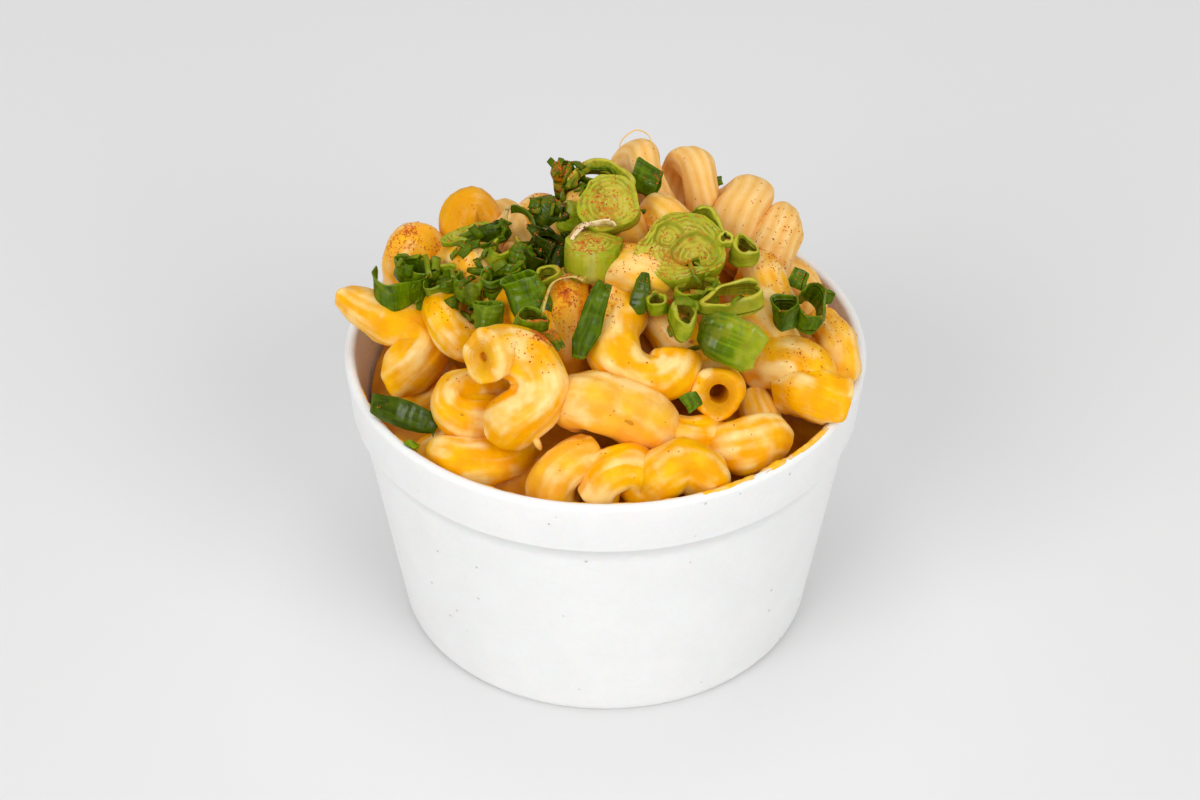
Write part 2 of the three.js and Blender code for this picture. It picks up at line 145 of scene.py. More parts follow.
# The stage
LIGHTS = {
    "key_light": dict(at=(-0.75, -0.95, 0.85), power=8.2),
    "fill_light": dict(at=(0.75, -0.95, 0.85), power=7.2),
    "back_light": dict(at=(0, 0.15, 1.2), power=3.4),
}
LIGHT_WIDTH = 0.8  # metres
LIGHT_AIM = Vector((0, 0, 0.05))
SKY_STRENGTH = 0.42
FLOOR_REACH = 8  # metres

# ---------- the view that places are given in ----------

# The heap is described as it is seen from in front and above. A place is how far across the view it is,
# how far down it, and its height in millimetres. A direction is how far it points right, up the view
# and towards the eye.
EYE = Vector((-1, -414.8, 364.2)) * MM
AIM = Vector((-1, 0, 42.7)) * MM
LENS = 85
SENSOR = 36
VIEW_WIDTH, VIEW_HEIGHT = 1200, 800
RIGHT = Vector((1, 0, 0))
NEAR = (EYE - AIM).normalized()
UP = NEAR.cross(RIGHT)


def sight(across, down):
    """From the eye through a place in the view, one metre deep."""
    zoom = VIEW_WIDTH * LENS / SENSOR
    return RIGHT * ((across - VIEW_WIDTH / 2) / zoom) + UP * ((VIEW_HEIGHT / 2 - down) / zoom) - NEAR


def seen(place):
    """Where a place in the view lies."""
    across, down, height = place
    line = sight(across, down)
    return EYE + line * ((height * MM - EYE.z) / line.z)


def in_view(direction):
    right, up, near = direction
    return RIGHT * right + UP * up + NEAR * near


# ---------- where things lie ----------


def lying(about, *path, **own):
    """A noodle that lies about one place: its path is points across, down and how much nearer."""
    return dict(about=about, path=path, **own)


def coiled(at, axis, side, **own):
    """A noodle that keeps its corkscrew, round an axis whose middle is at that place."""
    return dict(at=at, axis=axis, side=side, **own)


# Nearer is in millimetres towards the eye, and "side" is the side of the axis that the middle of the
# tube lies on. "dry" is 0 under thick sauce and 1 where the pasta is nearly bare, "deep" is the share of
# painted shade that darkens the noodle towards dark amber, and "ridged" makes the ridges that many times
# as deep. "open" widens or narrows the bore, "ends" are shares of the radius that the two ends taper to,
# and "sauce_from" is how far from its ends the sauce inside it starts. Other words change a size of that
# noodle alone.
NOODLES = {
    "far_left_hook": lying(
        (392, 341, 61),
        (343, 294, -2), (361, 306, 0), (388, 318, 0), (414, 328, 0), (427, 346, 1), (412, 366, 2),
        (391, 381, 0),
        tube=4.4, ends=(0.5, 1), deep=0.15,
    ),
    "left_dome": lying(
        (420, 270, 65), (406, 284, -4), (403, 257, -1), (411, 240, 0), (423, 250, -1), (428, 280, -4),
        tube=4.4, dry=0.1,
    ),
    "back_left_dome": lying(
        (474, 233, 69), (462, 247, -2), (463, 223, -1), (468, 203, 0), (477, 209, -1), (480, 232, -3),
        tube=4, deep=0.6,
    ),
    "pale_behind": coiled((522, 250, 68), (1, 0, 0), (0, 1, 0), coil=4.6, dry=0.8),
    "dusted_dome": coiled((543, 243, 70), (1, 0, 0), (0, 1, 0), dry=0.1),
    "left_curl": lying(
        (470, 334, 65), (450, 294, -5), (443, 316, -1), (455, 336, 1), (480, 342, -3), tube=3.9
    ),
    "front_hook": lying(
        (513, 382, 66.5),
        (480, 357, 6), (502, 352, 2.5), (526, 359, 2), (539, 381, 2), (532, 403, 2), (518, 416, 2),
        (511, 426, -2),
        tube=5.2, open=0.6, sauce_from=1.6,
    ),
    "left_arm": lying(
        (480, 406, 59),
        (502, 396, -7), (473, 391, -2), (453, 401, 1), (459, 413, 2), (482, 416, 1), (502, 412, -5),
        tube=4.3,
    ),
    "left_under": lying((454, 384, 56), (410, 404, -7), (436, 392, -5), (464, 374, -5), tube=3.3),
    "rim_left_long": lying(
        (477, 456, 53), (432, 454, -2), (455, 460, 1), (485, 461, 1), (508, 458, -1), (522, 450, -6),
        tube=4.6, ends=(0.7, 0.9), ridged=2,
    ),
    "rim_left_stub": coiled((450, 449, 50), (0.2, 1, 0), (0, 0.3, 1), coil=2.5, turns=0.6),
    "middle_dome": lying(
        (569, 331, 68), (566, 283, -5), (564, 308, 0), (565, 340, -1), (572, 368, -5), tube=4.4, dry=0.1
    ),
    "big_hook": lying(
        (645, 354, 67),
        (628, 300, -4), (613, 330, 0), (618, 362, 2), (645, 379, 2), (671, 372, 2), (675, 352, 1),
        tube=4.9, open=0.6, sauce_from=1.6,
    ),
    "big_hook_behind": coiled((662, 345, 62), (1, 0.2, 0), (0, 1, 0.2)),
    "open_end": lying(
        (732, 396, 62), (718, 394, 3), (714, 390, -3), (704, 384, -9), (690, 376, -14),
        tube=4.8, open=1.05, sauce_from=8,
    ),
    "front_middle": lying(
        (606, 416, 61), (566, 404, -2), (588, 400, 1), (614, 406, 2), (638, 418, 1), (654, 432, -2),
        tube=5.7, dry=0.2, ridged=1.2,
    ),
    "front_left_knob": lying(
        (565, 466, 56), (552, 508, -3), (553, 482, 0), (566, 463, 1), (592, 457, -2), tube=4.7, dry=0.15
    ),
    "front_right_knobs": lying(
        (652, 470, 56),
        (596, 494, -1), (609, 474, 2), (630, 469, 1), (646, 484, -1), (662, 472, 2), (684, 464, 1),
        (702, 472, 0), (710, 486, -3),
        tube=4.6, ridged=1.6,
    ),
    "front_right_fill": lying(
        (698, 451, 56), (636, 446, -5), (666, 436, -1), (696, 440, -1), (714, 436, -5), tube=4
    ),
    "right_front_lobe": lying(
        (744, 452, 55), (780, 444, -4), (762, 440, 0), (742, 446, 1), (722, 448, -2),
        tube=5, open=0.6, sauce_from=1.6, ends=(0.35, 0.9),
    ),
    "right_dome": lying(
        (783, 375, 60), (754, 366, -4), (774, 358, 0), (797, 362, 1), (812, 384, 0), (814, 400, -4),
        tube=4.8,
    ),
    "far_right": lying(
        (818, 369, 58), (820, 318, -4), (835, 342, 0), (838, 366, 0), (834, 388, -3), tube=3.6, dry=0.1
    ),
    "rim_right": lying(
        (821, 395, 59), (784, 388, -4), (808, 392, 1), (828, 400, 1), (843, 404, 0), tube=4.4
    ),
    "rim_back_right": coiled((780, 300, 60), (0, 0.3, 1), (0.8, 0.6, 0), dry=0.5),
    "right_bright_dome": coiled((762, 300, 66), (1, 0, 0.3), (0.3, 1, 0), dry=0.1),
    "right_under": lying((770, 432, 53), (752, 392, -4), (762, 414, -2), (772, 438, -5), tube=3.3),
    "under_leaf": coiled((752, 325, 64), (1, 0.2, 0), (0, 1, 0.4)),
    "under_bulb": coiled((668, 243, 76), (1, 0.2, 0), (0, 1, 0.2), dry=0.4),
    "dusted_middle": coiled((632, 283, 73.5), (0.6, 0.7, 0), (-0.3, 1, 0.3), dry=0.2),
    "under_top": coiled((600, 230, 77), (1, 0.2, -0.3), (-0.1, 1, 0.3), dry=0.4),
    "under_dark": coiled((545, 304, 63.5), (0.9, -0.3, 0.4), (0.3, 1, 0.2)),
    "under_stub": coiled((521, 325, 67), (1, 0, -0.25), (0.2, 0.8, 0.6)),
    "left_cream": coiled((468, 285, 67), (1, 0.1, 0), (0, 1, 0.2), dry=0.1),
    "back_twin_humps": coiled(
        (663, 185, 76), (1, -0.05, 0), (0, -1, 0), tube=3.7, pitch=9.6, turns=1.9, dry=0.9, ridged=0.6
    ),
    "back_right_humps": coiled(
        (750, 228, 72), (0.7, -0.65, 0.2), (-0.65, -0.7, 0),
        tube=4.5, coil=4.2, pitch=8.2, turns=1.9, dry=0.9, ridged=0.6,
    ),
}

# The noodles on the back of the heap lie in arcs, one above the other: millimetres, and degrees round
# the upright axis.
BACK_ARCS = (
    dict(count=7, radius=34, height=58, start=35, stop=160),
    dict(count=4, radius=21, height=65, start=60, stop=150),
)
BACK_ROLL_STEP = 70  # degrees from each noodle to the next
BACK_LEAN = 25  # degrees that every other noodle leans one way or the other
BACK_DRY = 0.7


def rows_of(kind):
    """Makes rows for pieces of that kind, whose width runs right across the view if nothing is said."""

    def row(at, axis, size, side=(1, 0, 0), **own):
        return dict(kind=kind, at=at, axis=axis, side=side, size=size, **own)

    return row


bulb, stalk, leaf, peel = (rows_of(kind) for kind in ("bulb", "stalk", "leaf", "peel"))

# Each large scallion piece: its place, its axis, and half its width, half its depth and its length along
# the axis in millimetres. "side" is the way that its width runs, "arc" leaves only the part of its wall
# between two angles, "shut" presses its ends flat, "wall" is its thickness in millimetres, and "pale" is
# one tone or a row of them from left to right. A tone above 0 is partly the paler stalk and partly painted
# light, and one below 0 is partly the dark leaf and partly painted shade.
SCALLIONS = {
    "bulb_slice": bulb(
        (680, 253, 80), (0.12, 0.42, 0.9), (7.8, 6.6, 5), side=(1, 0.05, 0), pale=(0.9, 0.5, 0.1, 0.3)
    ),
    "pale_slice": bulb(
        (609, 206, 85), (-0.1, 0.25, 0.96), (5.4, 5.1, 4.5), side=(1, 0.1, 0), pale=(0.1, 0.5, 0.5)
    ),
    "bulb_chunk": bulb(
        (593, 257, 79.5), (0.05, 0.8, 0.6), (4.8, 4, 6.4), side=(1, 0.05, 0),
        pale=(0.2, 0.9, 1.3, 0.1, -0.4),
    ),
    "stained_slice": bulb((468, 235, 75), (-0.25, 0.8, 0.5), (5.2, 2.6, 1.2), side=(0.96, 0.3, 0)),
    "top_slice": stalk(
        (602, 181, 85), (0, 0.62, 0.78), (5.3, 4.2, 2.4), side=(1, -0.1, 0),
        arc=(-30, 200), pale=0.9, wall=0.9,
    ),
    "dark_block": leaf(
        (645, 181, 84), (0.8, -0.45, 0.3), (2.8, 1.5, 5), side=(0.5, 0.8, 0), pale=-0.2
    ),
    "curl": stalk((699, 243, 81.5), (0.3, 0.3, 0.9), (4.4, 6.2, 3.6), arc=(-60, 100), pale=0.75),
    "small_ring": stalk((743, 252, 79.5), (0.05, 0.5, 0.86), (2.3, 2.3, 4.8), pale=0.6),
    "folded_leaf": stalk(
        (731, 339, 73.5), (0.9, -0.38, 0.2), (4.2, 2.4, 11.5), side=(0.45, 0.85, 0.2),
        pale=(-1, -0.6, 0, 0.8, 0.5), shut=0.75,
    ),
    "twin_left": leaf((786, 312, 72), (-0.1, 0.8, 0.6), (2.6, 2.4, 4.6), pale=-0.3),
    "twin_right": leaf((809, 309, 71.5), (0.1, 0.7, 0.7), (5.2, 2.5, 4.4), side=(0.1, 1, 0), pale=-0.2),
    "long_ring": stalk(
        (732, 299, 76.5), (0.1, 0.6, 0.8), (6.6, 2.5, 3.4), side=(0.93, 0.4, 0), pale=0.85
    ),
    "under_ring": stalk((698, 292, 76), (0.05, 0.7, 0.7), (4.2, 2.4, 3.4), side=(0.97, 0.2, 0)),
    "low_ring": stalk((682, 318, 75), (0.1, 0.6, 0.8), (2.1, 3.2, 4), side=(1, 0.2, 0), pale=0.3),
    "left_ring": leaf(
        (401, 283, 70.5), (0, 0.72, 0.68), (5, 4.3, 6.4), side=(1, 0.05, 0), arc=(-195, 95)
    ),
    "left_link": leaf(
        (443, 285, 71.5), (-0.15, 0.72, 0.68), (3.1, 2.1, 3.4), side=(0.9, 0.45, 0),
        arc=(150, 440), pale=0.1,
    ),
    "link_behind": stalk(
        (447, 264, 72.5), (0, 0.6, 0.78), (3.3, 1.8, 2.4), side=(1, -0.1, 0), arc=(165, 380), pale=0.1
    ),
    "leaf_strip": leaf(
        (490, 236, 76.5), (0.88, 0.42, 0.2), (2.2, 0.8, 8.4), side=(-0.2, 0.9, 0.4), pale=-0.8, shut=0.8
    ),
    "top_curl": stalk(
        (503, 251, 76.5), (0.2, 0.6, 0.77), (3.2, 2.4, 4), side=(1, 0.3, 0), arc=(100, 400), pale=0.1
    ),
    "back_curl": leaf((508, 240, 77), (0.1, 0.35, 0.93), (5.2, 6.6, 3.4), arc=(-35, 85), pale=-0.5),
    "stained_ring": leaf((499, 281, 74), (0, 0.7, 0.7), (3.1, 2.3, 4.4), side=(1, 0.05, 0)),
    "wide_ring": leaf((470, 288, 71.5), (0.05, 0.75, 0.65), (2.7, 2.2, 4.8), arc=(120, 425), pale=0.15),
    "left_stub": leaf((488, 316, 72), (0.08, 0.88, 0.45), (2.2, 1.8, 5.2), pale=0.1),
    "curved_tube": leaf((527, 297, 75), (-0.4, 0.8, 0.45), (3.1, 2.2, 8), side=(0.9, 0.4, 0)),
    "upright_leaf": leaf(
        (591, 319, 76), (0.32, 0.93, 0.15), (1.9, 0.9, 14), side=(0.95, -0.25, 0), pale=-0.3, shut=0.7
    ),
    "dark_fold": leaf(
        (565, 182, 83), (-0.15, 0.9, 0.4), (2.4, 1.8, 6.6), side=(1, 0.1, 0), pale=-0.1, shut=0.5
    ),
    "dark_patch": leaf((548, 247, 77), (0.3, 0.7, 0.6), (2.6, 2, 4.6), pale=-1.1),
    "corner_ring": leaf((532, 322, 74.5), (0.2, 0.65, 0.74), (2.9, 1.9, 3.8), pale=0.1),
    "rim_strip": leaf(
        (404, 413, 58), (0.93, -0.35, 0.15), (2.2, 0.8, 12.6), side=(0.3, 0.9, 0.3), pale=-0.7, shut=0.6
    ),
    "small_dark": leaf((641, 292, 77), (0.1, 0.98, 0.25), (1.4, 1, 7.8), pale=-0.5, shut=0.6),
}

# Scallion pieces smaller than a berry, given in the same way.
SCALLION_BITS = {
    "top_inner": leaf((596, 178, 84), (0, 0.6, 0.8), (3.9, 1.8, 3.4), side=(1, -0.1, 0), pale=-0.2),
    "dark_heart": leaf((531, 262, 75.5), (0.5, 0.6, 0.6), (2.8, 1.5, 4.5), pale=-1),
    "dark_lip": leaf((557, 262, 77), (0.1, 0.9, 0.4), (1.6, 1.1, 4.8), pale=-1, shut=0.6),
    "fold_under": leaf((519, 258, 76.5), (0.3, 0.8, 0.4), (2.1, 1.5, 4.8), pale=-0.2, shut=0.6),
    "left_fold": leaf(
        (415, 271, 71.5), (0.1, 0.65, 0.75), (4.2, 1.9, 3.8), side=(1, -0.3, 0), arc=(150, 395), pale=0.1
    ),
    "pale_link": stalk(
        (546, 279, 76), (-0.3, 0.6, 0.74), (2.6, 2.1, 3), side=(0.9, -0.4, 0), pale=0.6
    ),
    "corner_strip": leaf((553, 340, 73), (0.6, -0.75, 0.3), (0.9, 0.5, 4.5), side=(0.75, 0.6, 0)),
    "dusted_leaf": leaf(
        (547, 214, 79), (0.7, 0.65, 0.3), (2.4, 0.9, 6), side=(0.4, 0.8, 0.3), pale=-0.3, shut=0.7
    ),
    "lime_patch": stalk(
        (570, 217, 81.5), (0.2, 0.9, 0.4), (2.3, 1.4, 5.4), side=(1, -0.2, 0), pale=0.35, shut=0.6
    ),
    "thin_strip": leaf((648, 212, 81.5), (1, 0, 0.1), (0.6, 0.4, 3.2), side=(0, 1, 0)),
    "knob": stalk((725, 240, 82), (0.2, 0.45, 0.87), (1.6, 1.6, 2.6), pale=0.8),
    "side_knot": stalk((658, 305, 75.5), (-0.2, 0.65, 0.74), (2.1, 1.9, 3.6), pale=0.15),
    "twin_tip": leaf((798, 279, 72.5), (0.8, -0.5, 0.3), (1.4, 0.7, 3.6), side=(0.5, 0.8, 0)),
    "green_bit": stalk((414, 448, 56), (0.6, -0.5, 0.6), (1, 0.7, 2)),
    "dark_diamond": leaf((690, 401, 67), (0.3, -0.9, 0.3), (1.5, 0.4, 3), side=(0.9, 0.3, 0)),
    "far_bit": leaf((720, 183, 79), (0.9, 0.1, 0.3), (0.8, 0.5, 1.8), side=(0, 1, 0)),
    "wall_bit": leaf((826, 298, 66), (0.3, 0.8, 0.3), (1.2, 0.5, 2.4)),
    "yellow_loop": peel((571, 317, 73), (0, 0.15, 1), (5.8, 7.2, 1.3), arc=(62, 180), pale=0.9),
    "peel": peel((599, 250, 81.6), (0, 0.1, 1), (5.8, 5.6, 0.9), arc=(52, 165)),
    "stem": peel((506, 213, 77.5), (0.05, 1, 0), (0.4, 0.3, 3.4)),
}

# The wells in the top of a slice of bulb, where a shoot was cut: across, along and radius, as shares
# of the slice's half width.
WELLS = {"bulb_slice": ((-0.32, 0.36, 0.42), (0.3, -0.12, 0.56))}

# Sauce on the lip: the part of the lip it lies on, as angles round the cup and round the lip's own
# section, how much of that it covers and how thick it is in millimetres.
SMEARS = {
    "inner_edge": dict(arc=(-178, -4), turn=(140, 200), cover=0.42, depth=0.35),
    "front_right": dict(arc=(-70, -32), turn=(60, 185), cover=0.5, depth=0.45),
    "right": dict(arc=(-34, -8), turn=(100, 185), cover=0.3, depth=0.35),
}

# Threads of sauce: places along each one, its radius and the shares of it that its ends taper to.
THREADS = {
    "drip": dict(path=((533, 430, 60.5), (536, 440, 60), (541, 450, 58)), radius=0.75, ends=(1.3, 0.4)),
    "loop": dict(
        path=((619, 153, 82.5), (622, 140, 85), (636, 130, 87), (649, 136, 85.5), (652, 150, 83)),
        radius=0.12,
        ends=(0.6, 0.6),
    ),
}

# Small shreds of scallion between the larger pieces: the middle of the patch, its radius, how many
# shreds there are and how pale they are. The dark hollow's low tone is partly the dark leaf and partly
# painted shade in the hollow of the heap.
SHREDS = {
    "left_cluster": dict(at=(487, 270, 74), radius=9, count=60, pale=0.0),
    "far_left": dict(at=(415, 269, 72), radius=5, count=22, pale=0.1),
    "dark_hollow": dict(at=(544, 254, 76), radius=5, count=34, pale=-0.9),
    "top": dict(at=(566, 198, 82), radius=6, count=36, pale=0.0),
    "right": dict(at=(704, 300, 76), radius=6, count=20, pale=0.3),
}
SHRED_WALL = 0.4 * MM


def pinch(at, radius, grains):
    """Paprika dusted over the heap: the middle of the pinch, its radius and its number of grains."""
    return dict(at=at, radius=radius, grains=grains)


PINCHES = {
    "over_bulb": pinch((680, 253, 82), 9, 1500),
    "over_top": pinch((609, 206, 87), 9, 1300),
    "top_left": pinch((560, 190, 82), 7, 900),
    "behind_bulb": pinch((682, 207, 79), 5, 500),
    "chunk_top": pinch((583, 243, 83), 4, 300),
    "left_dome": pinch((406, 228, 73), 6, 700),
    "back_left_base": pinch((470, 222, 74), 5, 350),
    "dusted_dome": pinch((548, 205, 76), 6, 600),
    "middle_dome": pinch((566, 298, 74), 5, 700),
    "cluster_heart": pinch((545, 258, 76), 7, 500),
    "left_green": pinch((475, 275, 73), 10, 900),
    "hook_patch": pinch((545, 345, 72), 3.5, 600),
    "front_hook": pinch((538, 357, 71), 6, 300),
    "big_hook": pinch((600, 305, 74), 5, 350),
    "right_rim": pinch((845, 340, 60), 7, 500),
    "right_heap": pinch((775, 275, 70), 11, 900),
    "right_dome": pinch((790, 350, 66), 7, 350),
    "loose": pinch((606, 275, 75), 44, 1100),
}
GRAIN_DENSITY = 0.04  # stain left by one grain on a pinch whose radius is a millimetre
THICKEST_DUST = 0.9


# ---------- settings ----------


def colour(hex_code):
    """A colour as the editor shows it, from its hex code."""
    return tuple(int(hex_code[i : i + 2], 16) / 255 for i in (0, 2, 4))


def linear(shade):
    """A shown colour as the light values that shader sockets take."""
    return tuple(c / 12.92 if c <= 0.04045 else ((c + 0.055) / 1.055) ** 2.4 for c in shade) + (1,)


def tint(hex_code):
    """A hex code's colour as shader sockets take it."""
    return linear(colour(hex_code))


def length_setting(name, description, millimetres):
    return bpy.props.FloatProperty(
        name=name,
        description=description,
        default=millimetres * MM,
        min=0,
        precision=5,
        subtype="DISTANCE",
        unit="LENGTH",
    )


def colour_setting(name, description, hex_code):
    return bpy.props.FloatVectorProperty(
        name=name,
        description=description,
        default=colour(hex_code),
        size=3,
        min=0,
        max=1,
        subtype="COLOR_GAMMA",
    )


class CupSettings(bpy.types.PropertyGroup):
    height: length_setting("Height", "Foot to the top of the lip", 56.2)
    rim_radius: length_setting("Rim Radius", "Outside radius at the lip", 47.5)
    lip_width: length_setting("Lip Width", "Thickness of the rounded lip", 2)
    band_bottom: length_setting("Band Bottom", "Height of the step under the rim band", 46)
    band_radius: length_setting("Band Radius", "Outside radius at the band's lower edge", 46.6)
    body_top_radius: length_setting("Body Top Radius", "Outside radius just under the band", 45.4)
    step_height: length_setting("Step Height", "Height of the step under the band", 0.7)
    body_foot_radius: length_setting("Body Foot Radius", "Outside radius above the foot", 38.8)
    foot_radius: length_setting("Foot Radius", "Radius of the flat foot", 37.8)
    foot_round: length_setting("Foot Round", "Height over which the foot rounds in", 2.3)
    wall: length_setting("Wall", "Thickness of the wall near the floor", 2.2)
    floor: length_setting("Floor", "Thickness of the floor", 3.2)
    foam: colour_setting("Foam", "Colour of the foam", "f4f4f3")


class NoodleSettings(bpy.types.PropertyGroup):
    tube: length_setting("Tube Radius", "Outside radius of the pasta tube", 4.3)
    bore: length_setting("Bore Radius", "Radius of the hole through the tube", 1.5)
    coil: length_setting("Coil Radius", "From the corkscrew's axis to the tube's middle", 4.8)
    pitch: length_setting("Pitch", "Rise of the corkscrew in one turn", 12.5)
    ridge: length_setting("Ridge Depth", "Depth of the grooves on bare pasta", 0.42)
    turns: bpy.props.FloatProperty(
        name="Turns", description="Turns of the corkscrew", default=0.8, min=0.2, max=3
    )
    ridges: bpy.props.IntProperty(
        name="Ridges", description="Ridges round the tube", default=11, min=3, max=30
    )
    sauce: colour_setting("Sauce", "Colour of the amber cheese sauce", "ffbe00")
    # Cream is the colour of the pale patches: partly thick sauce, partly painted highlight.
    cream_and_highlight: colour_setting("Cream", "Colour of the sauce where it lies thick and pale", "ffd988")
    bare: colour_setting("Bare Pasta", "Colour of the pasta with little sauce on it", "ffd896")
    # The pooled colour is partly the sauce's own darker tone and partly painted shade for the hollows between
    # the noodles.
    pooled_and_shade: colour_setting("Pooled Sauce", "Colour of the sauce between the noodles", "c07000")


class ScallionSettings(bpy.types.PropertyGroup):
    leaf_wall: length_setting("Leaf Wall", "Thickness of a green leaf", 0.5)
    stalk_wall: length_setting("Stalk Wall", "Thickness of one layer of the stalk", 0.75)
    bulb_wall: length_setting("Bulb Layer", "Thickness of one layer of the bulb", 0.95)
    peel_wall: length_setting("Peel Wall", "Thickness of a strip of peel", 0.6)
    leaf: colour_setting("Leaf", "Dark green of the leaves", "587400")
    stalk: colour_setting("Stalk", "Bright green of the stalk", "7c9400")
    bulb: colour_setting("Bulb", "Pale green of the bulb", "a2a818")
    pith: colour_setting("Pith", "Colour inside the walls", "a0a020")


class DustSettings(bpy.types.PropertyGroup):
    grain: length_setting("Grain Size", "Width of a large paprika grain", 0.3)
    paprika: colour_setting("Paprika", "Colour of the paprika", "cc5206")


class StageSettings(bpy.types.PropertyGroup):
    lens: bpy.props.FloatProperty(
        name="Lens", description="Focal length of the camera in millimetres", default=LENS
    )
    camera: bpy.props.FloatVectorProperty(
        name="Camera",
        description="Where the camera stands",
        default=EYE,
        size=3,
        subtype="TRANSLATION",
        unit="LENGTH",
    )
    target: bpy.props.FloatVectorProperty(
        name="Target",
        description="The point the camera looks at",
        default=AIM,
        size=3,
        subtype="TRANSLATION",
        unit="LENGTH",
    )
    floor: colour_setting("Floor", "Colour of the floor", "e9e9e9")


# ---------- shader nodes ----------


class Signal:
    """A shader socket that sums build Math nodes from."""

    def __init__(self, look, socket):
        self.look = look
        self.socket = socket

    def math(self, operation, first, second, clamp=False):
        settings = {"operation": operation, "use_clamp": clamp}
        return self.look.node("ShaderNodeMath", settings, {0: first, 1: second})

    def __add__(self, other):
        return self.math("ADD", self, other)

    __radd__ = __add__

    def __sub__(self, other):
        return self.math("SUBTRACT", self, other)

    def __rsub__(self, other):
        return self.math("SUBTRACT", other, self)

    def __mul__(self, other):
        return self.math("MULTIPLY", self, other)

    __rmul__ = __mul__

    def clamped(self):
        return self.math("ADD", self, 0, clamp=True)


class Look:
    """One material and the nodes that feed its Principled shader."""

    def __init__(self, name, steady):
        self.material = bpy.data.materials.new(name)
        self.material.use_nodes = True
        self.tree = self.material.node_tree
        self.shader = self.tree.nodes["Principled BSDF"]
        for socket, value in steady.items():
            self.feed(socket, value)

    def node(self, kind, settings, inputs, output=0):
        """A node of that type, with its settings and its sockets' values or links."""
        made = self.tree.nodes.new(kind)
        for word, value in settings.items():
            setattr(made, word, value)
        for key, value in inputs.items():
            self.plug(value, made.inputs[key])
        return Signal(self, made.outputs[output])

    def plug(self, value, socket):
        if isinstance(value, Signal):
            self.tree.links.new(value.socket, socket)
        else:
            socket.default_value = value

    def feed(self, socket, value):
        self.plug(value, self.shader.inputs[socket])

    def place(self):
        return self.node("ShaderNodeTexCoord", {}, {}, "Object")

    def stored(self, name, output="Fac"):
        return self.node("ShaderNodeAttribute", {"attribute_name": name}, {}, output)

    def mottle(self, size, detail=2.0, roughness=0.5):
        """Cloudy noise from 0 to 1, its clouds about that many millimetres wide."""
        inputs = {
            "Vector": self.place(),
            "Scale": 1 / (size * MM),
            "Detail": detail,
            "Roughness": roughness,
        }
        return self.node("ShaderNodeTexNoise", {}, inputs)

    def streaks(self, finer):
        """Cloudy noise drawn out along the grain that the piece stores."""
        inputs = {"Vector": self.stored("grain", "Vector"), "Scale": finer, "Detail": 3.0}
        return self.node("ShaderNodeTexNoise", {}, inputs)

    def cells(self, size, feature="F1"):
        """Distance from the middles or edges of cells about that many millimetres wide."""
        inputs = {"Vector": self.place(), "Scale": 1 / (size * MM)}
        return self.node("ShaderNodeTexVoronoi", {"feature": feature}, inputs, "Distance")

    def ramp(self, value, low, high, out_low=0.0, out_high=1.0):
        """value brought from between low and high to between the out values, smoothly."""
        inputs = {0: value, 1: low, 2: high, 3: out_low, 4: out_high}
        return self.node("ShaderNodeMapRange", {"interpolation_type": "SMOOTHSTEP"}, inputs)

    def mix(self, share, first, second):
        return self.node("ShaderNodeMix", {"data_type": "RGBA"}, {0: share, 6: first, 7: second}, 2)

    def dusty(self, shade, most, reach):
        """That shade with a stain of paprika, where the piece stores that it was dusted."""
        specks = 0.6 * self.mottle(0.6, 3, roughness=0.7) + 0.5 * self.mottle(2.4, 2)
        stain = self.ramp(specks + reach * self.stored("dusted"), 0.68, 0.94, 0, most)
        share = stain * self.ramp(self.stored("dusted"), 0.02, 0.3)
        return self.mix(share, shade, tint("d65c06"))

    def bump(self, height, depth, strength=1.0, under=None):
        """A bump that many millimetres deep."""
        inputs = {"Height": height, "Distance": depth * MM, "Strength": strength}
        if under:
            inputs["Normal"] = under
        return self.node("ShaderNodeBump", {}, inputs)


def foam_look():
    """White bead foam: pressed beads with shallow seams, and a few pits."""
    look = Look("bead_foam", {"Roughness": 0.62, "Subsurface Weight": 0.2, "Subsurface Scale": 0.002})
    foam = bpy.context.scene.mac_cup.foam
    seams = look.cells(2.6, feature="DISTANCE_TO_EDGE")
    seam = look.ramp(seams, 0, 0.12)
    cloud = look.mottle(9, 3)
    shade = look.mix(look.ramp(cloud, 0.3, 0.7, 0, 0.5), linear(foam), linear(tuple(0.975 * c for c in foam)))
    pits = look.ramp(look.cells(4.5), 0.035, 0.075)
    # Painted shade: the pits are darkened to grey.
    shade = look.mix(1 - pits, shade, tint("c9c9c6"))
    look.feed("Base Color", shade)
    look.feed("Roughness", look.ramp(cloud, 0.2, 0.8, 0.5, 0.72))
    surface = look.bump(seam, 0.05, 0.5)
    surface = look.bump(look.mottle(1.2, 2), 0.04, 0.5, surface)
    look.feed("Normal", look.bump(pits, 0.15, 0.8, surface))
    return look.material


